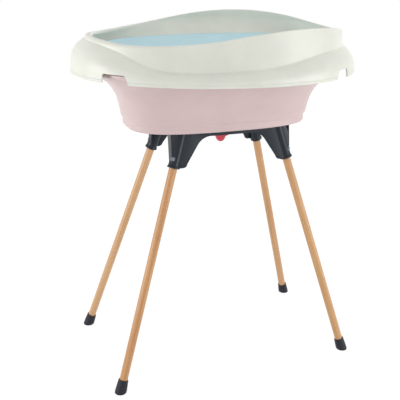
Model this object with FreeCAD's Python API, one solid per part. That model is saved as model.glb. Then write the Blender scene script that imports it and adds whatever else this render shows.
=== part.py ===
import FreeCAD, Part
import os
from math import cos, pi, radians, sin, sqrt

# Baby changing table with bath, in millimetres, +Z up.
# The origin lies on the floor, under the centre of the changing tray.
# Four splayed beech legs stand in rubber feet and plug into a moulded stand frame.
# The frame carries an oval bath tub and the tub carries a changing tray with a wavy wall.
# A padded mat lies in the tray, and a plug closes the tub's drain from below.

# General
overrun = 40.0
face_gap = 0.2
running_gap = 0.08
outline_points = 24
reach_steps = 40
skirt_power = 2.1
basin_power = 2.6
egg_share = 0.10

# Stand
stand_offset = 14.0
mouth_height = 636.5
mouth_inset = 6.2
mouth_spread_y = 106.3
leg_splay_x = 192.2
leg_splay_y = 103.2

# Legs
leg_diameter = 24.0
leg_insertion = 74.0
leg_edge = 1.5
leg_start = 12.0

# Feet
foot_bottom_diameter = 35.0
foot_top_diameter = 29.0
foot_height = 40.0

# Stand frame
frame_depth = 109.5
frame_half_length = 184.0
frame_wall = 4.5
frame_proud = 11.0
beam_height = 26.0
end_beam_height = 20.0
ledge_width = 22.0
ledge_thickness = 4.0
ledge_corner = 10.0
arch_flat_reach = 119.8
arch_middle_reach = 87.8
arch_middle_drop = 33.5
arch_bend_reach = 71.8
arch_bend_drop = 50.0
web_foot_reach = 39.8
web_foot_rise = 11.0
web_toe_middle_reach = 35.8
web_toe_middle_rise = 3.5
web_toe_reach = 25.8
end_arch_flat_reach = 48.3
end_arch_middle_reach = 37.3
end_arch_middle_drop = 3.5
end_web_top_reach = 32.3
end_arch_drop = 14.0
end_web_toe_reach = 17.3
socket_wall = 4.0
collar_height = 9.0
collar_flare = 2.4
peg_diameter = 9.0
peg_length = 8.0
peg_inset_x = 12.0
peg_inset_y = 15.0

# Leg buttons
button_bearing_degrees = 40.0
button_rise = 25.5
button_across = 13.4
button_along = 10.4
button_corner = 1.6
button_proud = 0.6
button_back = 1.6
button_play = 0.3
rib_width = 1.6
rib_height = 1.0
rib_pitch = 3.9
rib_margin = 1.2
spring_thickness = 0.6
spring_width = 8.0
spring_half_reach = 4.8

# Bath tub
tub_wall = 3.0
tub_height = 177.0
tub_seat_depth = 8.0
foot_overhang_length = 74.0
foot_overhang_width = 19.7
flange_inset_length = 21.0
flange_inset_width = 25.0
plinth_lip = 6.0
floor_thickness = 4.0
flange_lip_drop = 10.0

# Drain
drain_offset = 22.0
drain_bore = 34.0
drain_tube_wall = 4.0
drain_tube_drop = 41.0
drain_dish = 3.0
drain_dish_depth = 1.5

# Drain plug
plug_flange_diameter = 50.0
plug_flange_thickness = 4.0
plug_stem_length = 14.0
plug_neck_radius = 18.0
plug_waist_radius = 10.5
plug_waist_drop = 10.0
plug_tip_radius = 9.5
plug_knob_drop = 19.5
seal_width = 3.0
seal_depth = 2.2
seal_height = 6.0

# Changing tray
tray_wall = 3.5
skirt_half_length = 409.0
skirt_half_width = 304.0
skirt_overlap = 19.0
skirt_lip = 2.0
skirt_lip_height = 6.0
shoulder_height = 104.0
shoulder_reach_length = 28.0
shoulder_reach_width = 27.0
wall_foot_rise = 34.0
wall_span = 110.0
wall_lean_length = 7.0
wall_lean_width = 27.0
rim_rise = 51.0
rim_swell = 42.5
rim_thickness = 4.0
rim_solid = 9.0
basin_slope_length = 31.0
basin_slope_width = 78.0
basin_rise = 8.0
basin_depth = 62.0
rib_count = 12
tray_rib_thickness = 2.5
rib_step = 8.0
rib_play = 1.0
grip_height = 24.0
grip_depth = 34.0
grip_left_inset = 44.0
grip_left_run = 62.0
grip_right_inset = 110.0
grip_right_run = 50.0
grip_slant = 11.0
grip_corner = 6.0

# Changing mat
mat_margin = 9.0
mat_thickness = 26.0
mat_crown = 5.0
mat_piping = 3.0
mat_gap = 0.3

# Shares of the tub's reach beyond its foot, of its height, and the power of its outline at each level
tub_level_shares = (
    (-0.035, -0.022, 0.000, 3.0),
    (0.000, 0.000, 0.030, 3.0),
    (0.018, 0.016, 0.090, 3.0),
    (0.072, 0.058, 0.104, 3.0),
    (0.250, 0.205, 0.480, 3.0),
    (0.410, 0.350, 0.660, 2.9),
    (0.600, 0.545, 0.800, 2.7),
    (0.800, 0.765, 0.905, 2.4),
    (0.950, 0.945, 0.962, 2.1),
    (1.000, 1.000, 0.970, 2.1),
)

# Shares of the skirt's half length and half width, of the shoulder's height, and of the shift along X
shoulder_level_shares = (
    (1.000, 1.000, 0.000, 0.000),
    (0.998, 0.994, 0.150, -0.001),
    (0.989, 0.960, 0.300, -0.008),
    (0.970, 0.895, 0.520, -0.019),
    (0.943, 0.820, 0.750, -0.032),
    (0.908, 0.750, 0.920, -0.041),
    (0.865, 0.690, 1.000, -0.046),
)

# Shares of the way from the basin's floor outline to its rim outline, of its depth, and the outline's power
basin_level_shares = (
    (-0.120, -0.070, 0.000, 2.6),
    (0.000, 0.000, 0.050, 2.6),
    (0.240, 0.210, 0.220, 2.5),
    (0.600, 0.590, 0.520, 2.3),
    (1.000, 1.000, 1.000, 2.1),
)

# The rim's wave: shares of the skirt's half length, and of the swell above the low end
rim_wave_shares = (
    (-1.10, 0.30),
    (-0.91, 0.20),
    (-0.78, 0.05),
    (-0.55, 0.10),
    (-0.28, 0.34),
    (-0.02, 0.70),
    (0.20, 0.92),
    (0.36, 0.98),
    (0.54, 0.94),
    (0.74, 0.72),
    (0.90, 0.36),
    (1.02, -0.02),
    (1.10, -0.30),
)

# Shares of the mat's thickness, and of its piping for the set-back at each level
mat_level_shares = (
    (0.00, 2.4),
    (0.14, 0.7),
    (0.30, 0.3),
    (0.50, 1.3),
    (0.70, 0.3),
    (0.86, 0.7),
    (1.00, 2.4),
)
mat_crown_shares = (
    (0.960, 0.50),
    (0.890, 1.00),
)

# Heights, each from the piece below
frame_top = mouth_height + frame_depth
tub_bottom = frame_top - tub_seat_depth
tub_top = tub_bottom + tub_height
drain_tube_end = tub_bottom - drain_tube_drop
skirt_bottom = tub_top - skirt_overlap
wall_foot = skirt_bottom + wall_foot_rise
basin_floor = wall_foot + basin_rise
rim_low = basin_floor + rim_rise

# Half lengths and half widths, each from the piece that it fits
mouth_spread_x = frame_half_length - mouth_inset
foot_spread_x = mouth_spread_x + leg_splay_x
foot_spread_y = mouth_spread_y + leg_splay_y
tub_half_length = frame_half_length + stand_offset + foot_overhang_length
tub_half_width = mouth_spread_y + frame_proud + foot_overhang_width
flange_half_length = skirt_half_length - flange_inset_length
flange_half_width = skirt_half_width - flange_inset_width
wall_half_length = skirt_half_length - shoulder_reach_length
wall_half_width = skirt_half_width - shoulder_reach_width
basin_half_length = wall_half_length - basin_slope_length
basin_half_width = wall_half_width - basin_slope_width
mat_half_length = basin_half_length - mat_margin
mat_half_width = basin_half_width - mat_margin
grip_left_x = grip_left_inset - skirt_half_length
grip_right_x = skirt_half_length - grip_right_inset

V = FreeCAD.Vector
up = V(0, 0, 1)
corners = (("front_left", -1, -1), ("front_right", 1, -1), ("rear_left", -1, 1), ("rear_right", 1, 1))

os.makedirs("parts", exist_ok=True)


def save(shape, node):
    """Write one node's STEP file."""
    shape.exportStep("parts/" + node + ".step")


def line(a, b):
    """Straight edge between two points."""
    return Part.LineSegment(a, b).toShape()


def arc(a, b, c):
    """Circular edge from a through b to c."""
    return Part.Arc(a, b, c).toShape()


def closed_curve(points):
    """Smooth closed wire through points."""
    curve = Part.BSplineCurve()
    curve.interpolate(points, PeriodicFlag=True)
    return Part.Wire([curve.toShape()])


def oval(half_length, half_width, power, z, shift=0, egg=0):
    """Closed super-elliptic outline at one height, wider to the right by its egg share."""
    points = []
    for k in range(outline_points):
        angle = 2 * pi * (k + 0.5) / outline_points
        c, s = cos(angle), sin(angle)
        x = half_length * abs(c) ** (2 / power) * (1 if c > 0 else -1)
        y = half_width * abs(s) ** (2 / power) * (1 if s > 0 else -1) * (1 + egg * x / half_length)
        points.append(V(x + shift, y, z))
    return closed_curve(points)


def skin(levels):
    """Solid through outlines given as (half length, half width, power, height, shift, egg share)."""
    return Part.makeLoft([oval(*level) for level in levels], True, True)


def inset(levels, wall):
    """The same levels moved inwards, square to the profile, by a wall thickness."""
    moved = []
    for k, (a, b, power, z, shift) in enumerate(levels):
        before, after = levels[max(k - 1, 0)], levels[min(k + 1, len(levels) - 1)]
        run, rise = after[0] - before[0], after[3] - before[3]
        length = sqrt(run ** 2 + rise ** 2)
        margin = wall * rise / length
        moved.append((a - margin, b - margin, power, z + wall * run / length, shift))
    return moved


def cylinder(radius, height, base, axis=up):
    """Round bar from a base point along an axis."""
    return Part.makeCylinder(radius, height, base, axis)


def revolved(points, base, axis):
    """Turned solid: (radius, distance along the axis) points spun about the axis."""
    side = axis.cross(V(0, 1, 0)).normalize()
    outline = [base + side * r + axis * s for r, s in points]
    face = Part.Face(Part.makePolygon(outline + outline[:1]))
    return face.revolve(base, axis, 360)


def prism(outline, direction):
    """Solid from a closed list of edges swept along a vector."""
    return Part.Face(Part.Wire(outline)).extrude(direction)


def placed(shape, origin, x_axis, y_axis, z_axis):
    """Turn a local shape onto three unit axes and move it to its origin."""
    matrix = FreeCAD.Matrix(
        x_axis.x, y_axis.x, z_axis.x, origin.x,
        x_axis.y, y_axis.y, z_axis.y, origin.y,
        x_axis.z, y_axis.z, z_axis.z, origin.z,
        0, 0, 0, 1,
    )
    shape.transformShape(matrix)
    return shape


def block(low, high):
    """Box between two corners."""
    size = high - low
    return Part.makeBox(size.x, size.y, size.z, low)


# Lines of the four legs

mouth_slope_x = (foot_spread_x - mouth_spread_x) / mouth_height
mouth_slope_y = (foot_spread_y - mouth_spread_y) / mouth_height


class LegLine:
    """Axis of one leg, from the floor to its socket, and the axes of its button."""

    def __init__(self, side_x, side_y):
        self.foot = V(stand_offset + side_x * foot_spread_x, side_y * foot_spread_y, 0)
        self.mouth = V(stand_offset + side_x * mouth_spread_x, side_y * mouth_spread_y, mouth_height)
        self.length = (self.mouth - self.foot).Length
        self.axis = (self.mouth - self.foot).normalize()
        bearing = radians(button_bearing_degrees)
        outward = V(side_x * cos(bearing), side_y * sin(bearing), 0)
        self.out = (outward - self.axis * outward.dot(self.axis)).normalize()
        self.across = self.axis.cross(self.out)
        self.button = self.mouth + self.axis * button_rise

    def point(self, distance):
        """Point on the axis, measured from the floor."""
        return self.foot + self.axis * distance


legs = {name: LegLine(side_x, side_y) for name, side_x, side_y in corners}
leg_radius = leg_diameter / 2
bore_radius = leg_radius + running_gap
socket_radius = bore_radius + socket_wall
pocket_across = button_across + 2 * button_play
pocket_along = button_along + 2 * button_play
button_travel = socket_wall + button_proud + rib_height + running_gap
pocket_floor = button_travel + 3 * spring_thickness + button_play - button_back


def rounded_bar(across, along, low, high, corner):
    """Bar with rounded edges along its own Z."""
    bar = block(V(-across / 2, -along / 2, low), V(across / 2, along / 2, high))
    edges = [e for e in bar.Edges if abs(e.tangentAt(0).z) > 0.5]
    return bar.makeFillet(corner, edges)


def at_button(shape, leg):
    """Place a shape whose Z points out of the leg at its button."""
    return placed(shape, leg.button, leg.across, leg.axis, leg.out)


# Legs, feet, buttons and springs


def make_leg(leg):
    """Beech rod with bevelled ends and a milled pocket for its button."""
    top = leg.length + leg_insertion
    rod = revolved(
        [
            (0, leg_start),
            (leg_radius - leg_edge, leg_start),
            (leg_radius, leg_start + leg_edge),
            (leg_radius, top - leg_edge),
            (leg_radius - leg_edge, top),
            (0, top),
        ],
        leg.foot,
        leg.axis,
    )
    pocket = rounded_bar(pocket_across, pocket_along, -pocket_floor, leg_radius + overrun, button_corner)
    return rod.cut(at_button(pocket, leg))


def make_foot(leg):
    """Tapered rubber cap, cut flat on the floor, with a blind hole for the leg."""
    taper = (foot_bottom_diameter - foot_top_diameter) / 2 / foot_height
    cap = revolved(
        [
            (0, -leg_radius),
            (foot_bottom_diameter / 2 + taper * leg_radius, -leg_radius),
            (foot_top_diameter / 2, foot_height),
            (0, foot_height),
        ],
        leg.foot,
        leg.axis,
    )
    hole = cylinder(leg_radius + running_gap, foot_height + overrun, leg.point(leg_start), leg.axis)
    below_floor = block(
        leg.foot - V(foot_height, foot_height, foot_height),
        leg.foot + V(foot_height, foot_height, 0),
    )
    return cap.cut([hole, below_floor])


def make_button(leg):
    """Push button with three ribs on its head."""
    face = socket_radius + button_proud
    body = rounded_bar(button_across, button_along, button_back, face, button_corner)
    for k in (-1, 0, 1):
        rib = block(
            V(k * rib_pitch - rib_width / 2, rib_margin - button_along / 2, face - rib_height),
            V(k * rib_pitch + rib_width / 2, button_along / 2 - rib_margin, face + rib_height),
        )
        body = body.fuse(rib)
    return at_button(body.removeSplitter(), leg)


def make_spring(leg):
    """Folded leaf spring between the button's back and the pocket's floor."""
    top, bottom = button_back, -pocket_floor
    bend = (top + bottom) / 2
    reach = spring_half_reach
    profile = [
        V(-reach, 0, top),
        V(reach, 0, bend + spring_thickness),
        V(reach, 0, bend - spring_thickness),
        V(-reach, 0, bottom),
        V(-reach, 0, bottom + spring_thickness),
        V(reach - spring_thickness * 2, 0, bend),
        V(-reach, 0, top - spring_thickness),
    ]
    strip = Part.Face(Part.makePolygon(profile + profile[:1])).extrude(V(0, spring_width, 0))
    strip.translate(V(0, -spring_width / 2, 0))
    return at_button(strip, leg)


# Stand frame


def front_y(z):
    """Outer face of the front panel, which leans back with the legs."""
    return -(mouth_spread_y + frame_proud) + mouth_slope_y * (z - mouth_height)


def long_panel():
    """Front panel: thin beam that sweeps down in two arches to the leg sockets."""
    beam = frame_top - beam_height
    foot = mouth_height
    flat = mouth_spread_x - arch_flat_reach

    def spot(x, z):
        return V(x, front_y(z), z)

    toe = spot(mouth_spread_x - web_toe_reach, foot)
    toe_middle = spot(mouth_spread_x - web_toe_middle_reach, foot + web_toe_middle_rise)
    web = spot(mouth_spread_x - web_foot_reach, foot + web_foot_rise)
    bend = spot(mouth_spread_x - arch_bend_reach, frame_top - arch_bend_drop)
    middle = spot(mouth_spread_x - arch_middle_reach, frame_top - arch_middle_drop)
    right = [
        line(spot(frame_half_length, frame_top), spot(frame_half_length, foot)),
        line(spot(frame_half_length, foot), toe),
        arc(toe, toe_middle, web),
        line(web, bend),
        arc(bend, middle, spot(flat, beam)),
    ]
    left = [edge.mirror(V(0, 0, 0), V(1, 0, 0)) for edge in right]
    outline = right + [line(spot(flat, beam), spot(-flat, beam))] + left
    outline.append(line(spot(-frame_half_length, frame_top), spot(frame_half_length, frame_top)))
    return prism(Part.__sortEdges__(outline), V(0, frame_wall, 0))


def end_panel():
    """End panel: thin beam between two short side webs."""
    beam = frame_top - end_beam_height
    foot = mouth_height
    flat = mouth_spread_y - end_arch_flat_reach

    def spot(y, z):
        return V(frame_half_length - frame_wall, y, z)

    toe = spot(end_web_toe_reach - mouth_spread_y, foot)
    web_top = spot(end_web_top_reach - mouth_spread_y, beam - end_arch_drop)
    middle = spot(end_arch_middle_reach - mouth_spread_y, beam - end_arch_middle_drop)
    near = [
        line(spot(front_y(frame_top), frame_top), spot(front_y(foot), foot)),
        line(spot(front_y(foot), foot), toe),
        line(toe, web_top),
        arc(web_top, middle, spot(-flat, beam)),
    ]
    far = [edge.mirror(V(0, 0, 0), V(0, 1, 0)) for edge in near]
    outline = near + [line(spot(-flat, beam), spot(flat, beam))] + far
    outline.append(line(spot(front_y(frame_top), frame_top), spot(-front_y(frame_top), frame_top)))
    return prism(Part.__sortEdges__(outline), V(frame_wall, 0, 0))


def peg_place(side_x, side_y):
    """Centre of one locating peg on the frame's top."""
    x = stand_offset + side_x * (frame_half_length - peg_inset_x)
    y = side_y * (-front_y(frame_top) - peg_inset_y)
    return V(x, y, frame_top)


def make_frame():
    """Frame moulding: four panels, a top ledge and four slanting leg sockets."""
    half_width = -front_y(frame_top)
    front = long_panel()
    end = end_panel()
    ledge = block(V(-frame_half_length, -half_width, frame_top - ledge_thickness),
                  V(frame_half_length, half_width, frame_top))
    hole = block(
        V(-frame_half_length + ledge_width, -half_width + ledge_width, frame_top - ledge_thickness - overrun),
        V(frame_half_length - ledge_width, half_width - ledge_width, frame_top + overrun),
    )
    hole = hole.makeFillet(ledge_corner, [e for e in hole.Edges if abs(e.tangentAt(0).z) > 0.5])
    frame = ledge.cut(hole)
    frame = frame.fuse([front, front.mirror(V(0, 0, 0), V(0, 1, 0)), end, end.mirror(V(0, 0, 0), V(1, 0, 0))])
    frame.translate(V(stand_offset, 0, 0))
    roof = block(
        V(-frame_half_length * 2, -frame_half_length, frame_top - ledge_thickness / 2),
        V(frame_half_length * 2, frame_half_length, frame_top + frame_half_length),
    )
    sockets = []
    for leg in legs.values():
        height = (frame_top - mouth_height) / leg.axis.z + overrun
        tube = revolved(
            [
                (0, 0),
                (socket_radius + collar_flare, 0),
                (socket_radius + collar_flare, collar_height / 4),
                (socket_radius, collar_height),
                (socket_radius, height),
                (0, height),
            ],
            leg.mouth,
            leg.axis,
        )
        sockets.append(tube.cut(roof))
    frame = frame.fuse(sockets)
    cuts = []
    for name, side_x, side_y in corners:
        leg = legs[name]
        depth = leg_insertion + running_gap
        cuts.append(cylinder(bore_radius, depth + overrun, leg.mouth - leg.axis * overrun, leg.axis))
        reach = socket_radius + overrun
        window = rounded_bar(pocket_across, pocket_along, leg_radius / 2, reach, button_corner)
        cuts.append(at_button(window, leg))
        hole_floor = peg_place(side_x, side_y) - up * 2 * peg_length
        cuts.append(cylinder(peg_diameter / 2 + running_gap, 2 * peg_length, hole_floor))
    return frame.cut(cuts).removeSplitter()


# Bath tub and drain plug


def tub_levels():
    """Outer outlines of the tub, from its foot to the flange."""
    levels = []
    for length_share, width_share, height_share, power in tub_level_shares:
        a = tub_half_length + (flange_half_length - tub_half_length) * length_share
        b = tub_half_width + (flange_half_width - tub_half_width) * width_share
        levels.append((a, b, power, tub_bottom + tub_height * height_share, 0))
    return levels


def make_tub():
    """Bath shell with a stepped foot, flaring walls, a turned-down flange and its drain tube."""
    outer = tub_levels()
    top = tub_top
    length, width, power, under, shift = outer[-1]
    lip_length, lip_width = length - tub_wall, width - tub_wall
    lip_end = top - flange_lip_drop
    body = skin(outer[:-1] + [
        (lip_length, lip_width, power, under, shift),
        (lip_length, lip_width, power, lip_end, shift),
        (length, width, power, lip_end, shift),
        (length, width, power, top - tub_wall / 2, shift),
        (length - tub_wall / 2, width - tub_wall / 2, power, top, shift),
    ])
    floor_top = frame_top + face_gap + floor_thickness
    corner = floor_thickness
    walls = [level for level in inset(outer, tub_wall)[:-1] if level[3] > floor_top + corner]
    low, high = walls[0], walls[-1]
    hollow = [
        (low[0] - 3 * corner, low[1] - 3 * corner, low[2], floor_top, 0),
        (low[0] - corner, low[1] - corner, low[2], floor_top + corner / 2, 0),
    ]
    hollow += walls
    hollow.append((high[0] + tub_wall, high[1] + tub_wall, high[2], top + face_gap, 0))
    shell = body.cut(skin(hollow))
    foot_length, foot_width = outer[0][0] - plinth_lip, outer[0][1] - plinth_lip
    recess = skin([
        (foot_length, foot_width, outer[0][2], tub_bottom - overrun, 0),
        (foot_length, foot_width, outer[0][2], frame_top + face_gap, 0),
    ])
    shell = shell.cut(recess)
    drain = V(drain_offset, 0, drain_tube_end)
    tube_height = floor_top - floor_thickness / 2 - drain_tube_end
    shell = shell.fuse(cylinder(drain_bore / 2 + drain_tube_wall, tube_height, drain))
    bore = cylinder(drain_bore / 2, tube_height + overrun, drain - up * drain_dish_depth)
    dish = Part.makeCone(
        drain_bore / 2,
        drain_bore / 2 + drain_dish,
        drain_dish_depth + face_gap,
        V(drain_offset, 0, floor_top - drain_dish_depth),
    )
    shell = shell.cut([bore, dish])
    pegs = []
    for name, side_x, side_y in corners:
        base = peg_place(side_x, side_y) - up * peg_length
        pegs.append(cylinder(peg_diameter / 2, peg_length + floor_thickness / 2, base))
    return shell.fuse(pegs).removeSplitter()


def plug_seat():
    """Point on the drain's axis where the plug's flange meets the drain tube."""
    return V(drain_offset, 0, drain_tube_end - face_gap)


def make_plug():
    """Stopper pushed up into the drain tube, with a flange and a tapered finger knob."""
    stem = drain_bore / 2 - running_gap
    flange = plug_flange_diameter / 2
    groove = stem - seal_depth
    return revolved(
        [
            (0, plug_stem_length),
            (stem, plug_stem_length),
            (stem, seal_height + seal_width),
            (groove, seal_height + seal_width),
            (groove, seal_height),
            (stem, seal_height),
            (stem, 0),
            (flange, 0),
            (flange, -plug_flange_thickness),
            (plug_neck_radius, -plug_flange_thickness),
            (plug_waist_radius, -plug_waist_drop),
            (plug_tip_radius, -plug_knob_drop),
            (0, -plug_knob_drop),
        ],
        plug_seat(),
        up,
    )


def make_seal():
    """Rubber ring in the plug's groove."""
    outside = drain_bore / 2 - running_gap / 2
    inside = drain_bore / 2 - running_gap - seal_depth
    seat = plug_seat() + up * seal_height
    return cylinder(outside, seal_width, seat).cut(cylinder(inside, seal_width, seat))


# Changing tray


def shoulder_levels():
    """Outlines of the skirt and its rounded shoulder, which shifts to the low end as it rises."""
    levels = []
    for length_share, width_share, height_share, shift_share in shoulder_level_shares:
        levels.append((
            skirt_half_length * length_share,
            skirt_half_width * width_share,
            skirt_power,
            skirt_bottom + shoulder_height * height_share,
            skirt_half_length * shift_share,
            egg_share,
        ))
    return levels


def wall_levels(margin):
    """Two outlines of the upright wall, set in by a margin."""
    a, b = wall_half_length - margin, wall_half_width - margin
    return [
        (a, b, skirt_power, wall_foot, 0, egg_share),
        (a - wall_lean_length, b - wall_lean_width, skirt_power, wall_foot + wall_span, 0, egg_share),
    ]


def wall_size(z):
    """Half length and half width of the wall's outer face at a height."""
    share = (z - wall_foot) / wall_span
    return wall_half_length - wall_lean_length * share, wall_half_width - wall_lean_width * share


def basin_levels(wall):
    """Outlines of the mat's basin, or of its underside when a wall is given."""
    rim_z = basin_floor + basin_depth
    rim_a, rim_b = wall_size(rim_z)
    rim_a -= rim_thickness
    rim_b -= rim_thickness
    levels = []
    for length_share, width_share, height_share, power in basin_level_shares:
        a = basin_half_length + (rim_a - basin_half_length) * length_share
        b = basin_half_width + (rim_b - basin_half_width) * width_share
        z = basin_floor + basin_depth * height_share - wall
        levels.append((a + wall, b + wall, power, z, 0, egg_share * height_share))
    top_z = wall_foot + wall_span
    top_a, top_b = wall_size(top_z)
    margin = rim_thickness - wall
    levels.append((top_a - margin, top_b - margin, skirt_power, top_z - wall, 0, egg_share))
    return levels


def lowered(levels, margin, drop):
    """The same levels set in by a margin and lowered by a drop."""
    return [(a - margin, b - margin, power, z - drop, shift, egg) for a, b, power, z, shift, egg in levels]


def above_wave(drop):
    """Everything above the rim's wave, lowered by a drop."""
    points = [
        V(skirt_half_length * x_share, -skirt_half_length, rim_low + rim_swell * swell_share - drop)
        for x_share, swell_share in rim_wave_shares
    ]
    curve = Part.BSplineCurve()
    curve.interpolate(points)
    top = V(0, 0, wall_span)
    first, last = points[0], points[-1]
    outline = [
        curve.toShape(),
        line(last, last + top),
        line(last + top, first + top),
        line(first + top, first),
    ]
    return prism(outline, V(0, 2 * skirt_half_length, 0))


def oval_reach(half_length, half_width, power, angle, egg=0):
    """Distance from the centre to an oval outline along a bearing."""
    low, high = 0, half_length + half_width
    for step in range(reach_steps):
        middle = (low + high) / 2
        x = middle * cos(angle) / half_length
        y = middle * sin(angle) / half_width / (1 + egg * x)
        if abs(x) ** power + abs(y) ** power < 1:
            low = middle
        else:
            high = middle
    return low


def tray_rib(angle):
    """Upright plate under the tray, stepped to rest on the tub's flange and to hold its edge."""
    seat = tub_top + face_gap
    along, across = V(cos(angle), sin(angle), 0), V(-sin(angle), cos(angle), 0)
    half = tray_wall / 2
    basin = oval_reach(basin_half_length, basin_half_width, basin_power, angle)
    flange = oval_reach(flange_half_length, flange_half_width, tub_level_shares[-1][3], angle) + rib_play
    skirt = oval_reach(skirt_half_length, skirt_half_width, skirt_power, angle, egg_share) - half
    foot_a, foot_b = wall_size(wall_foot)
    crease = oval_reach(foot_a, foot_b, skirt_power, angle, egg_share)
    corners_rz = [
        (basin - rib_step, seat),
        (flange, seat),
        (flange, seat - rib_step),
        (skirt, seat - rib_step),
        (skirt, seat),
        (crease, wall_foot - half),
        (basin + rib_step, wall_foot + rib_step),
        (basin - rib_step, basin_floor - half),
    ]
    outline = [along * r + up * z - across * (tray_rib_thickness / 2) for r, z in corners_rz]
    return Part.Face(Part.makePolygon(outline + outline[:1])).extrude(across * tray_rib_thickness)


def skirt_y(x):
    """Front edge of the skirt at a place along its length."""
    share = x / skirt_half_length
    return -skirt_half_width * (1 - abs(share) ** skirt_power) ** (1 / skirt_power) * (1 + egg_share * share)


def grip_cut(near_x, far_x):
    """Tool that cuts one finger notch out of the skirt's lower edge, square to the skirt there."""
    near, far = V(near_x, skirt_y(near_x), skirt_bottom), V(far_x, skirt_y(far_x), skirt_bottom)
    along = (far - near).normalize()
    length = (far - near).Length
    outline = [
        V(0, -grip_depth, -overrun),
        V(0, -grip_depth, 0),
        V(grip_slant, -grip_depth, grip_height),
        V(length, -grip_depth, grip_height),
        V(length, -grip_depth, -overrun),
    ]
    tool = Part.Face(Part.makePolygon(outline + outline[:1])).extrude(V(0, 2 * grip_depth, 0))
    high = [e for e in tool.Edges if abs(e.tangentAt(0).y) > 0.5 and e.BoundBox.ZMin > 0.5 * grip_height]
    tool = tool.makeFillet(grip_corner, high)
    return placed(tool, near, along, up.cross(along), up)


def make_tray():
    """Tray moulding: skirt, rounded shoulder, wavy wall, basin for the mat, and ribs underneath."""
    shoulder = shoulder_levels()
    solid = skin(shoulder).fuse(skin(wall_levels(0)))
    solid = solid.cut(above_wave(0))
    lip_length, lip_width = skirt_half_length + skirt_lip, skirt_half_width + skirt_lip
    lip_top = skirt_bottom + skirt_lip_height
    lip = skin([
        (lip_length, lip_width, skirt_power, skirt_bottom, 0, egg_share),
        (lip_length, lip_width, skirt_power, lip_top, 0, egg_share),
        (skirt_half_length, skirt_half_width, skirt_power, lip_top + skirt_lip, 0, egg_share),
    ])
    solid = solid.fuse(lip)
    hollow = skin(lowered(shoulder[:1], tray_wall, overrun) + lowered(shoulder[2::2], tray_wall, tray_wall))
    hollow = hollow.fuse(skin(lowered(wall_levels(rim_thickness), 0, tray_wall)))
    hollow = hollow.cut(above_wave(rim_solid))
    hollow = hollow.cut(skin(basin_levels(tray_wall)))
    tray = solid.cut(hollow)
    tray = tray.cut(skin(basin_levels(0)))
    ribs = [tray_rib(2 * pi * (k + 0.5) / rib_count) for k in range(rib_count)]
    tray = tray.fuse(ribs)
    left = grip_cut(grip_left_x + grip_left_run, grip_left_x)
    right = grip_cut(grip_right_x - grip_right_run, grip_right_x)
    return tray.cut([left, right]).removeSplitter()


# Changing mat


def make_mat():
    """Padded mat with a crowned top and drawn-in sides."""
    levels = []
    for height_share, set_back_share in mat_level_shares:
        back = mat_piping * set_back_share
        levels.append((
            mat_half_length - back,
            mat_half_width - back,
            basin_power,
            basin_floor + mat_gap + mat_thickness * height_share,
            0,
        ))
    top = basin_floor + mat_gap + mat_thickness
    for size_share, crown_share in mat_crown_shares:
        levels.append((
            mat_half_length * size_share,
            mat_half_width * size_share,
            basin_power,
            top + mat_crown * crown_share,
            0,
        ))
    return skin(levels)


save(make_frame(), "stand_frame")
for name, leg in legs.items():
    save(make_leg(leg), "leg_" + name)
    save(make_foot(leg), "foot_" + name)
    save(make_button(leg), "leg_button_" + name)
    save(make_spring(leg), "button_spring_" + name)
save(make_tub(), "bath_tub")
save(make_plug(), "drain_plug")
save(make_seal(), "plug_seal")
save(make_tray(), "changing_tray")
save(make_mat(), "changing_mat")
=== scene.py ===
import logging
from dataclasses import dataclass
from enum import Enum
from math import atan2, cos, pi, radians, sin, sqrt
from typing import Any, Callable, Sequence

import bmesh
import bpy
from mathutils import Matrix, Vector


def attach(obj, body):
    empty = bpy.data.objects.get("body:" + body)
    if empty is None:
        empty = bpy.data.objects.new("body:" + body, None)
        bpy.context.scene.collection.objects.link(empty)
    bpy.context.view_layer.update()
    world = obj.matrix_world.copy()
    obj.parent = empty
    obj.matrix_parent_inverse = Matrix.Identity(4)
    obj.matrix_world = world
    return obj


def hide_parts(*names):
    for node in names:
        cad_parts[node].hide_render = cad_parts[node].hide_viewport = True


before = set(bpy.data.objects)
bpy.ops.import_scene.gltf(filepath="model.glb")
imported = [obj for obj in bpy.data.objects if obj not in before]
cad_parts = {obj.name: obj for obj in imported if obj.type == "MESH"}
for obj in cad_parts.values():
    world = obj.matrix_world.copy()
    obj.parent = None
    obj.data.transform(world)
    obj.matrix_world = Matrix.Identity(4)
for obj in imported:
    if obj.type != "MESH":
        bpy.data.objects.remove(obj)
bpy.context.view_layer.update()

# All sizes in the classes are millimetres; a mesh is turned to metres when its piece is finished.
MM = 0.001
UP = Vector((0.0, 0.0, 1.0))
SMOOTH_ANGLE = radians(32)
LOG = logging.getLogger("changing_table")

Place = Callable[[float], Vector]


class Corner(Enum):
    """The stand's corners: a name and the sides along X and Y."""

    FRONT_LEFT = ("front_left", -1, -1)
    FRONT_RIGHT = ("front_right", 1, -1)
    REAR_LEFT = ("rear_left", -1, 1)
    REAR_RIGHT = ("rear_right", 1, 1)

    @property
    def label(self) -> str:
        """Name used in the nodes of this corner."""
        return self.value[0]

    @property
    def side_x(self) -> int:
        """Side along X, minus one or one."""
        return self.value[1]

    @property
    def side_y(self) -> int:
        """Side along Y, minus one or one."""
        return self.value[2]


class Cut(Enum):
    """How one solid changes another."""

    JOIN = "UNION"
    REMOVE = "DIFFERENCE"


# Colours and nodes


def linear(code: str) -> tuple[float, float, float, float]:
    """Turn an sRGB hex colour into linear values.

    Args:
        code: six hex digits.

    Returns:
        Linear red, green, blue and a full alpha.
    """
    values = []
    for k in (0, 2, 4):
        share = int(code[k:k + 2], 16) / 255
        values.append(share / 12.92 if share <= 0.04045 else ((share + 0.055) / 1.055) ** 2.4)
    return values[0], values[1], values[2], 1.0


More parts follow.
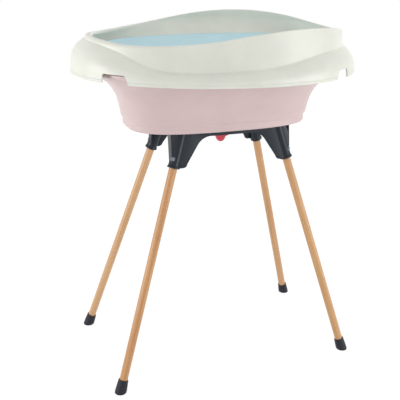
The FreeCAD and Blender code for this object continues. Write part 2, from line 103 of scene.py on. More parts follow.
def add_node(
    tree: bpy.types.NodeTree,
    kind: str,
    inputs: dict[Any, Any] | None = None,
    links: dict[Any, tuple[bpy.types.Node, str]] | None = None,
    **settings: Any,
) -> bpy.types.Node:
    """Add one node with its settings, values and links.

    Args:
        tree: node tree that takes the node.
        kind: the node's type name.
        inputs: values by socket name or number.
        links: source node and its output name, by socket name or number.
        settings: attributes of the node.

    Returns:
        The new node.
    """
    node = tree.nodes.new(kind)
    for name, value in settings.items():
        setattr(node, name, value)
    for name, value in (inputs or {}).items():
        node.inputs[name].default_value = value
    for name, (source, output) in (links or {}).items():
        tree.links.new(source.outputs[output], node.inputs[name])
    return node


def fresh_material(name: str) -> tuple[bpy.types.Material, bpy.types.NodeTree, bpy.types.Node]:
    """Make an empty node material.

    Args:
        name: the material's name.

    Returns:
        The material, its tree and its shader node.
    """
    material = bpy.data.materials.new(name)
    material.use_nodes = True
    tree = material.node_tree
    tree.nodes.clear()
    shader = add_node(tree, "ShaderNodeBsdfPrincipled")
    add_node(tree, "ShaderNodeOutputMaterial", links={"Surface": (shader, "BSDF")})
    return material, tree, shader


def tone(colour: tuple[float, ...], share: float) -> tuple[float, float, float, float]:
    """Darken or lighten a linear colour.

    Args:
        colour: linear colour.
        share: factor on its three values.

    Returns:
        The changed colour, kept under full white.
    """
    red, green, blue = (min(value * share, 1.0) for value in colour[:3])
    return red, green, blue, 1.0


@dataclass(frozen=True)
class MouldedPlastic:
    """Injection-moulded polypropylene: a cloudy even colour with a fine spark-eroded grain."""

    name: str
    colour: str
    roughness: float
    grain_mm: float
    grain_depth_mm: float
    cloud_mm: float = 90.0
    cloud_share: float = 0.04
    coat: float = 0.0
    subsurface: float = 0.0
    specular: float = 0.5

    def build(self) -> bpy.types.Material:
        """Make the material."""
        material, tree, shader = fresh_material(self.name)
        colour = linear(self.colour)
        place = add_node(tree, "ShaderNodeTexCoord")
        cloud = add_node(
            tree,
            "ShaderNodeTexNoise",
            inputs={"Scale": 1 / (self.cloud_mm * MM), "Detail": 3.0, "Roughness": 0.55},
            links={"Vector": (place, "Object")},
        )
        ramp = add_node(tree, "ShaderNodeValToRGB", links={"Fac": (cloud, "Fac")})
        ramp.color_ramp.elements[0].position = 0.3
        ramp.color_ramp.elements[0].color = tone(colour, 1 - self.cloud_share)
        ramp.color_ramp.elements[1].position = 0.7
        ramp.color_ramp.elements[1].color = tone(colour, 1 + self.cloud_share)
        grain = add_node(
            tree,
            "ShaderNodeTexNoise",
            inputs={"Scale": 1 / (self.grain_mm * MM), "Detail": 2.0, "Roughness": 0.6},
            links={"Vector": (place, "Object")},
        )
        shine = add_node(
            tree,
            "ShaderNodeMapRange",
            inputs={"To Min": self.roughness - 0.04, "To Max": self.roughness + 0.05},
            links={"Value": (cloud, "Fac")},
        )
        bump = add_node(
            tree,
            "ShaderNodeBump",
            inputs={"Strength": 0.5, "Distance": self.grain_depth_mm * MM},
            links={"Height": (grain, "Fac")},
        )
        shader.inputs["IOR"].default_value = 1.49
        shader.inputs["Specular IOR Level"].default_value = self.specular
        shader.inputs["Coat Weight"].default_value = self.coat
        shader.inputs["Coat Roughness"].default_value = 0.12
        shader.inputs["Subsurface Weight"].default_value = self.subsurface
        shader.inputs["Subsurface Radius"].default_value = (0.6, 0.4, 0.3)
        shader.inputs["Subsurface Scale"].default_value = 4 * MM
        tree.links.new(ramp.outputs["Color"], shader.inputs["Base Color"])
        tree.links.new(shine.outputs["Result"], shader.inputs["Roughness"])
        tree.links.new(bump.outputs["Normal"], shader.inputs["Normal"])
        return material


@dataclass(frozen=True)
class VarnishedBeech:
    """Steamed beech under a thin satin varnish: long soft growth lines and short dark rays."""

    name: str
    light: str
    dark: str
    axis: tuple[float, float, float]
    seed: float
    line_mm: float = 2.6
    line_length_mm: float = 260.0
    ray_mm: float = 0.9
    ray_length_mm: float = 7.0

    def build(self) -> bpy.types.Material:
        """Make the material, its grain turned to run along the rod."""
        material, tree, shader = fresh_material(self.name)
        turn = Vector(self.axis).rotation_difference(UP).to_euler()
        place = add_node(tree, "ShaderNodeTexCoord")
        turned = add_node(
            tree,
            "ShaderNodeMapping",
            inputs={"Rotation": turn, "Location": (self.seed, self.seed * 0.7, self.seed * 0.3)},
            links={"Vector": (place, "Object")},
        )
        lines = self._streaks(tree, turned, self.line_mm, self.line_length_mm, 3.0)
        rays = self._streaks(tree, turned, self.ray_mm, self.ray_length_mm, 1.0)
        grain = add_node(tree, "ShaderNodeValToRGB", links={"Fac": (lines, "Fac")})
        grain.color_ramp.elements[0].position = 0.32
        grain.color_ramp.elements[0].color = linear(self.dark)
        grain.color_ramp.elements[1].position = 0.68
        grain.color_ramp.elements[1].color = linear(self.light)
        flecks = add_node(tree, "ShaderNodeValToRGB", links={"Fac": (rays, "Fac")})
        flecks.color_ramp.elements[0].position = 0.62
        flecks.color_ramp.elements[0].color = (0.0, 0.0, 0.0, 1.0)
        flecks.color_ramp.elements[1].position = 0.72
        flecks.color_ramp.elements[1].color = (1.0, 1.0, 1.0, 1.0)
        wood = add_node(
            tree,
            "ShaderNodeMix",
            data_type="RGBA",
            inputs={7: tone(linear(self.dark), 0.72)},
            links={6: (grain, "Color"), 0: (flecks, "Color")},
        )
        bump = add_node(
            tree,
            "ShaderNodeBump",
            inputs={"Strength": 0.4, "Distance": 0.08 * MM},
            links={"Height": (lines, "Fac")},
        )
        shader.inputs["Roughness"].default_value = 0.42
        shader.inputs["IOR"].default_value = 1.5
        shader.inputs["Coat Weight"].default_value = 0.25
        shader.inputs["Coat Roughness"].default_value = 0.3
        tree.links.new(wood.outputs[2], shader.inputs["Base Color"])
        tree.links.new(bump.outputs["Normal"], shader.inputs["Normal"])
        return material

    def _streaks(
        self, tree: bpy.types.NodeTree, turned: bpy.types.Node, across_mm: float, along_mm: float, detail: float
    ) -> bpy.types.Node:
        """Noise drawn out along the rod."""
        scaled = add_node(
            tree,
            "ShaderNodeMapping",
            inputs={"Scale": (1 / (across_mm * MM), 1 / (across_mm * MM), 1 / (along_mm * MM))},
            links={"Vector": (turned, "Vector")},
        )
        return add_node(
            tree,
            "ShaderNodeTexNoise",
            inputs={"Scale": 1.0, "Detail": detail, "Roughness": 0.6, "Distortion": 0.3},
            links={"Vector": (scaled, "Vector")},
        )


@dataclass(frozen=True)
class CoatedCloth:
    """Wipe-clean cloth under a thin soft coating: matt, with a faint pebbled grain and a low sheen."""

    name: str
    colour: str
    pebble_mm: float
    depth_mm: float

    def build(self) -> bpy.types.Material:
        """Make the material."""
        material, tree, shader = fresh_material(self.name)
        colour = linear(self.colour)
        place = add_node(tree, "ShaderNodeTexCoord")
        pebbles = add_node(
            tree,
            "ShaderNodeTexVoronoi",
            feature="SMOOTH_F1",
            inputs={"Scale": 1 / (self.pebble_mm * MM), "Smoothness": 0.6},
            links={"Vector": (place, "Object")},
        )
        cloud = add_node(
            tree,
            "ShaderNodeTexNoise",
            inputs={"Scale": 1 / (70 * MM), "Detail": 4.0},
            links={"Vector": (place, "Object")},
        )
        ramp = add_node(tree, "ShaderNodeValToRGB", links={"Fac": (cloud, "Fac")})
        ramp.color_ramp.elements[0].position = 0.3
        ramp.color_ramp.elements[0].color = tone(colour, 0.97)
        ramp.color_ramp.elements[1].position = 0.7
        ramp.color_ramp.elements[1].color = tone(colour, 1.03)
        bump = add_node(
            tree,
            "ShaderNodeBump",
            inputs={"Strength": 0.5, "Distance": self.depth_mm * MM},
            links={"Height": (pebbles, "Distance")},
        )
        shader.inputs["Roughness"].default_value = 0.55
        shader.inputs["IOR"].default_value = 1.46
        shader.inputs["Sheen Weight"].default_value = 0.15
        shader.inputs["Sheen Roughness"].default_value = 0.5
        tree.links.new(ramp.outputs["Color"], shader.inputs["Base Color"])
        tree.links.new(bump.outputs["Normal"], shader.inputs["Normal"])
        return material


@dataclass(frozen=True)
class SpringSteel:
    """Rolled spring steel: grey metal with fine rolling lines."""

    name: str
    colour: str
    line_mm: float

    def build(self) -> bpy.types.Material:
        """Make the material."""
        material, tree, shader = fresh_material(self.name)
        place = add_node(tree, "ShaderNodeTexCoord")
        lines = add_node(
            tree,
            "ShaderNodeTexNoise",
            inputs={"Scale": 1 / (self.line_mm * MM), "Detail": 2.0},
            links={"Vector": (place, "Object")},
        )
        shine = add_node(
            tree, "ShaderNodeMapRange", inputs={"To Min": 0.28, "To Max": 0.42}, links={"Value": (lines, "Fac")}
        )
        shader.inputs["Base Color"].default_value = linear(self.colour)
        shader.inputs["Metallic"].default_value = 1.0
        tree.links.new(shine.outputs["Result"], shader.inputs["Roughness"])
        return material


# Outlines and meshes


@dataclass(frozen=True)
class Outline:
    """Level super-elliptic outline, wider to the right by its egg share."""

    half_length: float
    half_width: float
    power: float
    height: float
    shift: float = 0.0
    egg: float = 0.0

    def reach(self, bearing: float) -> float:
        """Distance from the Z axis to the outline along a bearing.

        Args:
            bearing: direction in radians.

        Returns:
            The distance.
        """
        run_x, run_y = cos(bearing) / self.half_length, sin(bearing) / self.half_width
        if self.shift == 0 and self.egg == 0:
            return (abs(run_x) ** self.power + abs(run_y) ** self.power) ** (-1 / self.power)
        low, high = 0.0, 2 * max(self.half_length, self.half_width)
        for _ in range(26):
            middle = (low + high) / 2
            across = middle * run_x - self.shift / self.half_length
            along = middle * run_y / (1 + self.egg * across)
            if abs(across) ** self.power + abs(along) ** self.power < 1:
                low = middle
            else:
                high = middle
        return (low + high) / 2

    def place(self, bearing: float) -> Vector:
        """Point of the outline along a bearing."""
        distance = self.reach(bearing)
        return Vector((distance * cos(bearing), distance * sin(bearing), self.height))


def bearings(count: int, half_length: float, half_width: float) -> list[float]:
    """Directions that space points evenly round an oval.

    Args:
        count: number of directions.
        half_length: the oval's half length.
        half_width: the oval's half width.

    Returns:
        The directions in radians.
    """
    turns = [2 * pi * (k + 0.5) / count for k in range(count)]
    return [atan2(half_width * sin(turn), half_length * cos(turn)) for turn in turns]


def smooth_row(rows: Sequence[tuple[float, ...]], at: float) -> list[float]:
    """Read a table on a smooth curve through its rows.

    Args:
        rows: rows that start with a rising key.
        at: key to read.

    Returns:
        The other values of the row there.
    """
    keys = [row[0] for row in rows]
    at = min(max(at, keys[0]), keys[-1])
    k = max([i for i in range(len(keys) - 1) if keys[i] <= at])
    step = keys[k + 1] - keys[k]
    t = (at - keys[k]) / step
    values = []
    for column in range(1, len(rows[0])):
        slopes = []
        for i in (k, k + 1):
            before, after = max(i - 1, 0), min(i + 1, len(rows) - 1)
            slopes.append((rows[after][column] - rows[before][column]) / (keys[after] - keys[before]) * step)
        start, end = rows[k][column], rows[k + 1][column]
        value = (2 * t ** 3 - 3 * t ** 2 + 1) * start + (t ** 3 - 2 * t ** 2 + t) * slopes[0]
        value += (3 * t ** 2 - 2 * t ** 3) * end + (t ** 3 - t ** 2) * slopes[1]
        values.append(value)
    return values


class RingSkin:
    """A closed skin that grows ring by ring."""

    def __init__(self, columns: Sequence[float], place: Place) -> None:
        """Start with the first ring.

        Args:
            columns: bearings of the skin's columns.
            place: gives the ring's point for a bearing.
        """
        self.columns = list(columns)
        self.mesh = bmesh.new()
        self.ring = list(bmesh.ops.create_circle(self.mesh, segments=len(self.columns), radius=1.0)["verts"])
        self.edges = self._ring_edges()
        self.first_edges = list(self.edges)
        self._settle(place)

    def _ring_edges(self) -> list[bmesh.types.BMEdge]:
        """Edges along the present ring."""
        return [self.mesh.edges.get(pair) for pair in zip(self.ring, self.ring[1:] + self.ring[:1])]

    def _settle(self, place: Place) -> None:
        """Move the present ring to its places."""
        for vert, bearing in zip(self.ring, self.columns):
            vert.co = place(bearing)

    def grow(self, place: Place) -> None:
        """Extrude the present ring to a new one.

        Args:
            place: gives the new ring's point for a bearing.
        """
        made = bmesh.ops.extrude_edge_only(self.mesh, edges=self.edges)["geom"]
        fresh = {item for item in made if isinstance(item, bmesh.types.BMVert)}
        self.ring = [
            next(edge.other_vert(vert) for edge in vert.link_edges if edge.other_vert(vert) in fresh)
            for vert in self.ring
        ]
        self.edges = self._ring_edges()
        self._settle(place)

    def cap(self) -> None:
        """Close the present ring with one face."""
        bmesh.ops.contextual_create(self.mesh, geom=self.edges)

    def cap_first(self) -> None:
        """Close the first ring with one face."""
        bmesh.ops.contextual_create(self.mesh, geom=self.first_edges)

    def close(self) -> None:
        """Join the present ring to the first one."""
        bmesh.ops.bridge_loops(self.mesh, edges=self.edges + self.first_edges)


def spun(profile: Sequence[tuple[float, float]], steps: int, closed: bool = False) -> bmesh.types.BMesh:
    """Turn a profile about Z.

    Args:
        profile: radius and height of each point.
        steps: number of steps of the full turn.
        closed: whether the profile's end joins its start.

    Returns:
        The turned mesh.
    """
    mesh = bmesh.new()
    verts = [mesh.verts.new((radius, 0.0, height)) for radius, height in profile]
    pairs = list(zip(verts, verts[1:]))
    if closed:
        pairs.append((verts[-1], verts[0]))
    for pair in pairs:
        mesh.edges.new(pair)
    geometry = list(mesh.verts) + list(mesh.edges)
    bmesh.ops.spin(
        mesh, geom=geometry, cent=(0, 0, 0), axis=(0, 0, 1), angle=2 * pi, steps=steps, use_merge=True
    )
    bmesh.ops.remove_doubles(mesh, verts=mesh.verts, dist=0.001)
    return mesh


def rounded_box(low: Sequence[float], high: Sequence[float], radius: float, segments: int = 3) -> bmesh.types.BMesh:
    """Box with rounded edges.

    Args:
        low: its lowest corner.
        high: its highest corner.
        radius: radius of its edges.
        segments: segments of each rounding.

    Returns:
        The mesh.
    """
    mesh = bmesh.new()
    bmesh.ops.create_cube(mesh, size=1.0)
    size = [b - a for a, b in zip(low, high)]
    middle = [(a + b) / 2 for a, b in zip(low, high)]
    bmesh.ops.scale(mesh, vec=size, verts=mesh.verts)
    bmesh.ops.translate(mesh, vec=middle, verts=mesh.verts)
    if radius > 0:
        round_edges(mesh, list(mesh.edges), radius, segments)
    return mesh


def plate(outline: Sequence[Sequence[float]], sweep: Sequence[float]) -> bmesh.types.BMesh:
    """Flat outline swept along a vector.

    Args:
        outline: corners of one flat face, in order.
        sweep: vector from that face to the opposite one.

    Returns:
        The mesh.
    """
    mesh = bmesh.new()
    face = mesh.faces.new([mesh.verts.new(point) for point in outline])
    moved = bmesh.ops.extrude_face_region(mesh, geom=[face])["geom"]
    bmesh.ops.translate(mesh, vec=sweep, verts=[v for v in moved if isinstance(v, bmesh.types.BMVert)])
    if len([f for f in mesh.faces if len(f.verts) == len(outline)]) < 2:
        bmesh.ops.contextual_create(mesh, geom=[e for e in mesh.edges if e.is_boundary])
    return mesh


def round_edges(
    mesh: bmesh.types.BMesh, edges: Sequence[bmesh.types.BMEdge], radius: float, segments: int = 3
) -> None:
    """Round some edges of a mesh.

    Args:
        mesh: mesh to change.
        edges: its edges to round.
        radius: offset of the rounding.
        segments: segments of the rounding.
    """
    bmesh.ops.bevel(
        mesh,
        geom=list(edges),
        offset=radius,
        offset_type="OFFSET",
        affect="EDGES",
        segments=segments,
        profile=0.5,
        material=-1,
        clamp_overlap=True,
    )


def sharp_edges(mesh: bmesh.types.BMesh, angle: float = radians(50)) -> list[bmesh.types.BMEdge]:
    """Edges of a mesh that turn by more than an angle."""
    bmesh.ops.recalc_face_normals(mesh, faces=mesh.faces)
    return [edge for edge in mesh.edges if len(edge.link_faces) == 2 and edge.calc_face_angle() > angle]


def turned_to(origin: Vector, x_axis: Vector, y_axis: Vector, z_axis: Vector) -> Matrix:
    """Matrix that puts a local shape on three unit axes at an origin."""
    matrix = Matrix((x_axis, y_axis, z_axis)).transposed().to_4x4()
    matrix.translation = origin
    return matrix


def as_object(mesh: bmesh.types.BMesh, name: str, matrix: Matrix | None = None) -> bpy.types.Object:
    """Turn a bmesh in millimetres into an object in metres.

    Args:
        mesh: the bmesh, which is freed.
        name: the object's name.
        matrix: where its local shape goes, in millimetres.

    Returns:
        The object, at the origin and unturned.
    """
    if matrix is not None:
        bmesh.ops.transform(mesh, matrix=matrix, verts=mesh.verts)
    bmesh.ops.scale(mesh, vec=(MM, MM, MM), verts=mesh.verts)
    bmesh.ops.recalc_face_normals(mesh, faces=mesh.faces)
    data = bpy.data.meshes.new(name)
    mesh.to_mesh(data)
    mesh.free()
    item = bpy.data.objects.new(name, data)
    bpy.context.scene.collection.objects.link(item)
    return item


def apply_modifiers(item: bpy.types.Object) -> None:
    """Replace an object's mesh by the one that its modifiers give."""
    bpy.context.view_layer.update()
    graph = bpy.context.evaluated_depsgraph_get()
    data = bpy.data.meshes.new_from_object(item.evaluated_get(graph))
    item.modifiers.clear()
    item.data = data


def combine(item: bpy.types.Object, tools: Sequence[bpy.types.Object], cut: Cut) -> None:
    """Join solids to an object or cut them out of it.

    Args:
        item: object to change.
        tools: solids, which are used up.
        cut: whether they are joined or removed.
    """
    for tool in tools:
        modifier = item.modifiers.new("cut", "BOOLEAN")
        modifier.operation = cut.value
        modifier.solver = "EXACT"
        modifier.object = tool
    apply_modifiers(item)
    for tool in tools:
        bpy.data.objects.remove(tool)


def dress(
    item: bpy.types.Object,
    material: bpy.types.Material,
    body: str,
    nodes: Sequence[str],
    angle: float = SMOOTH_ANGLE,
) -> bpy.types.Object:
    """Finish a piece: shading, material, body and the nodes that it stands for.

    Args:
        item: the piece.
        material: its material.
        body: CAD body that it rides on.
        nodes: CAD nodes that it replaces.
        angle: edges that turn by more stay crisp.

    Returns:
        The piece.
    """
    item.data.materials.clear()
    item.data.materials.append(material)
    for polygon in item.data.polygons:
        polygon.use_smooth = True
    item.data.set_sharp_from_angle(angle=angle)
    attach(item, body)
    if nodes:
        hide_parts(*nodes)
    LOG.info("%s: %d faces", item.name, len(item.data.polygons))
    return item


def subdivide(item: bpy.types.Object, levels: int = 1) -> None:
    """Smooth an object by subdivision and keep the result."""
    modifier = item.modifiers.new("smooth", "SUBSURF")
    modifier.levels = levels
    modifier.render_levels = levels
    apply_modifiers(item)


# Changing tray


@dataclass
class ChangingTray:
    """Tray moulding: a skirt and rounded shoulder, a wall with a wavy rim, and the mat's basin."""

    columns: int = 160
    wall: float = 3.5
    skirt_half_length: float = 409.0
    skirt_half_width: float = 304.0
    skirt_power: float = 2.1
    egg: float = 0.1
    skirt_bottom: float = 896.0
    lip: float = 2.0
    lip_height: float = 6.0
    shoulder_swoop: float = 2.4
    left_fullness: float = 1.6
    left_stretch: float = 9.0
    wall_half_length: float = 377.5
    wall_shift: float = -3.5
    wall_half_width: float = 277.0
    wall_foot: float = 930.0
    wall_span: float = 110.0
    lean_length: float = 7.0
    lean_width: float = 27.0
    rim_low: float = 989.0
    rim_swell: float = 42.5
    rim_thickness: float = 4.0
    rim_round: float = 2.0
    rim_roll: float = 13.0
    basin_half_length: float = 350.0
    basin_half_width: float = 199.0
    basin_floor: float = 938.0
    basin_depth: float = 62.0
    rib_count: int = 12
    rib_thickness: float = 2.5
    rib_step: float = 8.0
    rib_play: float = 1.0
    rib_seat: float = 915.2
    flange_half_length: float = 388.0
    flange_half_width: float = 279.0
    grip_height: float = 24.0
    grip_depth: float = 34.0
    grip_slant: float = 11.0
    grip_corner: float = 6.0
    grips: tuple[tuple[float, float], ...] = ((-311.0, -365.0), (249.0, 299.0))
    # Place share along the length and height of the crease between shoulder and wall
    crease_line: tuple[tuple[float, float], ...] = (
        (-1.02, 991.0),
        (-0.90, 986.0),
        (-0.79, 971.0),
        (-0.69, 949.0),
        (-0.61, 936.0),
        (-0.52, 930.0),
        (-0.30, 930.0),
        (-0.14, 932.5),
        (0.02, 936.0),
        (0.19, 942.0),
        (0.38, 956.0),
        (0.52, 965.0),
        (0.68, 967.0),
        (1.02, 969.0),
    )
    # Height share, length share, width share and power of the basin
    basin_shares: tuple[tuple[float, ...], ...] = (
        (0.000, -0.120, -0.070, 2.6),
        (0.050, 0.000, 0.000, 2.6),
        (0.220, 0.240, 0.210, 2.5),
        (0.520, 0.600, 0.590, 2.3),
        (1.000, 1.000, 1.000, 2.1),
    )
    # Place share along the length and swell share of the rim
    wave_shares: tuple[tuple[float, float], ...] = (
        (-1.10, 0.30),
        (-0.91, 0.20),
        (-0.78, 0.05),
        (-0.55, 0.10),
        (-0.28, 0.34),
        (-0.02, 0.70),
        (0.20, 0.92),
        (0.36, 0.98),
        (0.54, 0.94),
        (0.74, 0.70),
        (0.90, 0.26),
        (1.02, -0.14),
        (1.10, -0.38),
    )

    def skirt_reach(self, bearing: float, margin: float = 0.0) -> float:
        """Distance to the skirt along a bearing, drawn out a little at the left end."""
        length, width = self.skirt_half_length + margin, self.skirt_half_width + margin
        oval = Outline(length, width, self.skirt_power, self.skirt_bottom, egg=self.egg)
        return oval.reach(bearing) + self.left_stretch * max(0.0, -cos(bearing)) ** 6

    def shoulder(self, bearing: float, crease: float, height: float) -> float:
        """Distance to the rounded shoulder.

        Args:
            bearing: direction in radians.
            crease: height at which the shoulder meets the wall there.
            height: height to read.

        Returns:
            The distance.
        """
        low = self.skirt_bottom + self.lip_height + self.lip
        share = min(max((height - low) / (crease - low), 0.0), 1.0)
        skirt = self.skirt_reach(bearing)
        swoop = self.shoulder_swoop + self.left_fullness * max(0.0, -cos(bearing)) ** 4
        return skirt + (self.wall_outline(crease).reach(bearing) - skirt) * share ** swoop

    def roll(self, bearing: float) -> float:
        """Extra thickness of the rolled rim, which grows towards the left end."""
        return self.rim_roll * max(0.0, -cos(bearing)) ** 2

    def wall_outline(self, height: float) -> Outline:
        """Outer outline of the upright wall at a height."""
        share = (height - self.wall_foot) / self.wall_span
        return Outline(
            self.wall_half_length - self.lean_length * share,
            self.wall_half_width - self.lean_width * share,
            self.skirt_power,
            height,
            self.wall_shift,
            self.egg,
        )

    def basin(self, height: float) -> Outline:
        """Inner outline of the basin and wall at a height."""
        rim_height = self.basin_floor + self.basin_depth
        rim = self.wall_outline(max(height, rim_height))
        length, width = rim.half_length - self.rim_thickness, rim.half_width - self.rim_thickness
        if height >= rim_height:
            return Outline(length, width, self.skirt_power, height, self.wall_shift, self.egg)
        share = (height - self.basin_floor) / self.basin_depth
        length_share, width_share, power = smooth_row(self.basin_shares, share)
        return Outline(
            self.basin_half_length + (length - self.basin_half_length) * length_share,
            self.basin_half_width + (width - self.basin_half_width) * width_share,
            power,
            height,
            self.wall_shift * share,
            self.egg * share,
        )

    def wave(self, bearing: float) -> float:
        """Height of the rim along a bearing."""
        height = self.rim_low
        for _ in range(4):
            x = self.wall_outline(height).reach(bearing) * cos(bearing)
            height = self.rim_low + self.rim_swell * smooth_row(self.wave_shares, x / self.skirt_half_length)[0]
        return height

    def crease(self, bearing: float, highest: float) -> float:
        """Height at which the shoulder meets the wall along a bearing.

        Args:
            bearing: direction in radians.
            highest: upper bound of the height.

        Returns:
            The height.
        """
        height = self.wall_foot
        for _ in range(4):
            x = self.wall_outline(height).reach(bearing) * cos(bearing)
            height = smooth_row(self.crease_line, x / self.skirt_half_length)[0]
        return min(height, highest)

    def hollow_top(self, bearing: float) -> float:
        """Height at which the wall's hollow underside ends along a bearing."""
        low, high = self.basin_floor, self.basin_floor + self.basin_depth
        room = 3 * self.wall
        for _ in range(14):
            middle = (low + high) / 2
            if self.wall_outline(middle).reach(bearing) - self.basin(middle).reach(bearing) > room:
                low = middle
            else:
                high = middle
        return low

    def skin(self) -> bmesh.types.BMesh:
        """Closed skin of the moulding, from the basin's floor over the rim and back underneath."""
        columns = bearings(self.columns, self.wall_half_length, self.wall_half_width)
        rounds = {b: self.rim_round + self.roll(b) / 2 for b in columns}
        bases = {b: self.wave(b) - rounds[b] for b in columns}
        creases = {b: self.crease(b, bases[b] - self.rim_round) for b in columns}
        tops = {b: min(self.hollow_top(b), bases[b] - 2 * self.rim_round) for b in columns}

        def at(bearing: float, distance: float, height: float) -> Vector:
            return Vector((distance * cos(bearing), distance * sin(bearing), height))

        def floor(share: float, height: float) -> Place:
            edge = self.basin(self.basin_floor)
            return lambda b: at(b, edge.reach(b) * share, height)

        def inside(share: float) -> Place:
            def place(b: float) -> Vector:
                height = self.basin_floor + (bases[b] - self.basin_floor) * share
                return at(b, self.basin(height).reach(b) - self.roll(b) * share ** 3, height)
            return place

        def over_rim(turn: float) -> Place:
            def place(b: float) -> Vector:
                base = bases[b]
                inner, outer = self.basin(base).reach(b) - self.roll(b), self.wall_outline(base).reach(b)
                radius = min(rounds[b], (outer - inner) / 2)
                middle = inner + radius if turn > pi / 2 else outer - radius
                return at(b, middle + radius * cos(turn), base + radius * sin(turn))
            return place

        def outside(share: float) -> Place:
            def place(b: float) -> Vector:
                height = creases[b] + (bases[b] - creases[b]) * share
                return at(b, self.wall_outline(height).reach(b), height)
            return place

        def on_shoulder(share: float) -> Place:
            def place(b: float) -> Vector:
                low = self.skirt_bottom + self.lip_height + self.lip
                height = low + (creases[b] - low) * share
                return at(b, self.shoulder(b, creases[b], height), height)
            return place

        def skirt(margin: float, height: float) -> Place:
            return lambda b: at(b, self.skirt_reach(b, margin), height)

        def under_shoulder(share: float) -> Place:
            def place(b: float) -> Vector:
                low, high = self.skirt_bottom + self.lip_height, min(creases[b], tops[b]) - self.wall
                height = low + (high - low) * share
                return at(b, self.shoulder(b, creases[b], height + self.wall) - self.wall, height)
            return place

        def apex() -> Place:
            def place(b: float) -> Vector:
                outer = self.wall_outline(tops[b]).reach(b) - self.wall
                inner = self.basin(tops[b]).reach(b) + self.wall
                return at(b, (outer + inner) / 2, tops[b])
            return place

        def under_basin(share: float) -> Place:
            def place(b: float) -> Vector:
                height = self.basin_floor + (tops[b] - self.basin_floor) * share
                return at(b, self.basin(height).reach(b) + self.wall, height - self.wall * (1 - share))
            return place

        low = self.basin_floor - self.wall
        skin = RingSkin(columns, floor(0.05, self.basin_floor))
        skin.cap_first()
        places = [floor(share, self.basin_floor) for share in (0.5, 0.9, 0.985)]
        places += [inside(share) for share in (0.03, 0.09, 0.18, 0.3, 0.45, 0.6, 0.75, 0.88, 0.97)]
        places += [over_rim(turn) for turn in (pi, 0.8 * pi, 0.6 * pi, 0.4 * pi, 0.2 * pi, 0.0)]
        places += [outside(share) for share in (0.94, 0.75, 0.5, 0.28, 0.12, 0.04, 0.0)]
        places += [on_shoulder(share) for share in (0.95, 0.86, 0.72, 0.56, 0.4, 0.24, 0.1, 0.0)]
        places += [skirt(self.lip - 0.3, self.skirt_bottom + self.lip_height + self.lip / 2)]
        places += [skirt(self.lip, self.skirt_bottom + self.lip_height)]
        places += [skirt(self.lip, self.skirt_bottom + 0.6), skirt(self.lip - 0.6, self.skirt_bottom)]
        places += [skirt(0.6 - self.wall, self.skirt_bottom), skirt(-self.wall, self.skirt_bottom + 0.6)]
        places += [under_shoulder(share) for share in (0.1, 0.4, 0.7, 1.0)]
        places += [apex()]
        places += [under_basin(share) for share in (0.95, 0.6, 0.3, 0.12, 0.03)]
        places += [floor(share, low) for share in (0.97, 0.5, 0.05)]
        for place in places:
            skin.grow(place)
        skin.cap()
        return skin.mesh

    def rib(self, bearing: float) -> bmesh.types.BMesh:
        """Upright plate under the tray, stepped round the tub's flange."""
        seat, half = self.rib_seat, self.wall / 2
        inner = self.basin(self.basin_floor + self.basin_depth / 20).reach(bearing)
        flange = Outline(self.flange_half_length, self.flange_half_width, 2.1, seat).reach(bearing) + self.rib_play
        skirt = self.skirt_reach(bearing) - half
        crease = self.crease(bearing, self.rim_low)
        foot = min(crease, self.wall_foot) - half
        points = (
            (inner - self.rib_step, seat),
            (flange, seat),
            (flange, seat - self.rib_step),
            (skirt, seat - self.rib_step),
            (self.shoulder(bearing, crease, seat) - half, seat),
            (self.wall_outline(foot).reach(bearing) - half, foot),
            (inner + self.rib_step, self.wall_foot + self.rib_step),
            (inner - self.rib_step, self.basin_floor - half),
        )
        half_thick = self.rib_thickness / 2
        mesh = plate([(r, -half_thick, z) for r, z in points], (0, self.rib_thickness, 0))
        bmesh.ops.rotate(mesh, cent=(0, 0, 0), matrix=Matrix.Rotation(bearing, 3, "Z"), verts=mesh.verts)
        return mesh

    def grip(self, near_x: float, far_x: float) -> bpy.types.Object:
        """Cutter of one finger notch, square to the skirt, with a slanted near side."""
        power, points = self.skirt_power, []
        for x in (near_x, far_x):
            share = x / self.skirt_half_length
            y = -self.skirt_half_width * (1 - abs(share) ** power) ** (1 / power) * (1 + self.egg * share)
            points.append(Vector((x, y, self.skirt_bottom)))
        along = (points[1] - points[0]).normalized()
        length = (points[1] - points[0]).length
        low, high, side = -self.grip_depth, self.grip_height, -self.grip_depth
        outline = [(0, side, low), (0, side, 0), (self.grip_slant, side, high), (length, side, high)]
        mesh = plate(outline + [(length, side, low)], (0, 2 * self.grip_depth, 0))
        crosswise = [e for e in mesh.edges if abs((e.verts[0].co - e.verts[1].co).normalized().y) > 0.9]
        round_edges(mesh, [e for e in crosswise if e.verts[0].co.z > high / 2], self.grip_corner, 5)
        return as_object(mesh, "grip", turned_to(points[0], along, UP.cross(along), UP))

    def build(self, material: bpy.types.Material) -> bpy.types.Object:
        """Make the tray.

        Args:
            material: its plastic.

        Returns:
            The finished piece.
        """
        tray = as_object(self.skin(), "tray_moulding")
        subdivide(tray)
        ribs = [as_object(self.rib(2 * pi * (k + 0.5) / self.rib_count), "rib") for k in range(self.rib_count)]
        combine(tray, ribs, Cut.JOIN)
        combine(tray, [self.grip(*grip) for grip in self.grips], Cut.REMOVE)
        return dress(tray, material, "tray", ["changing_tray"])


# Bath tub and plug


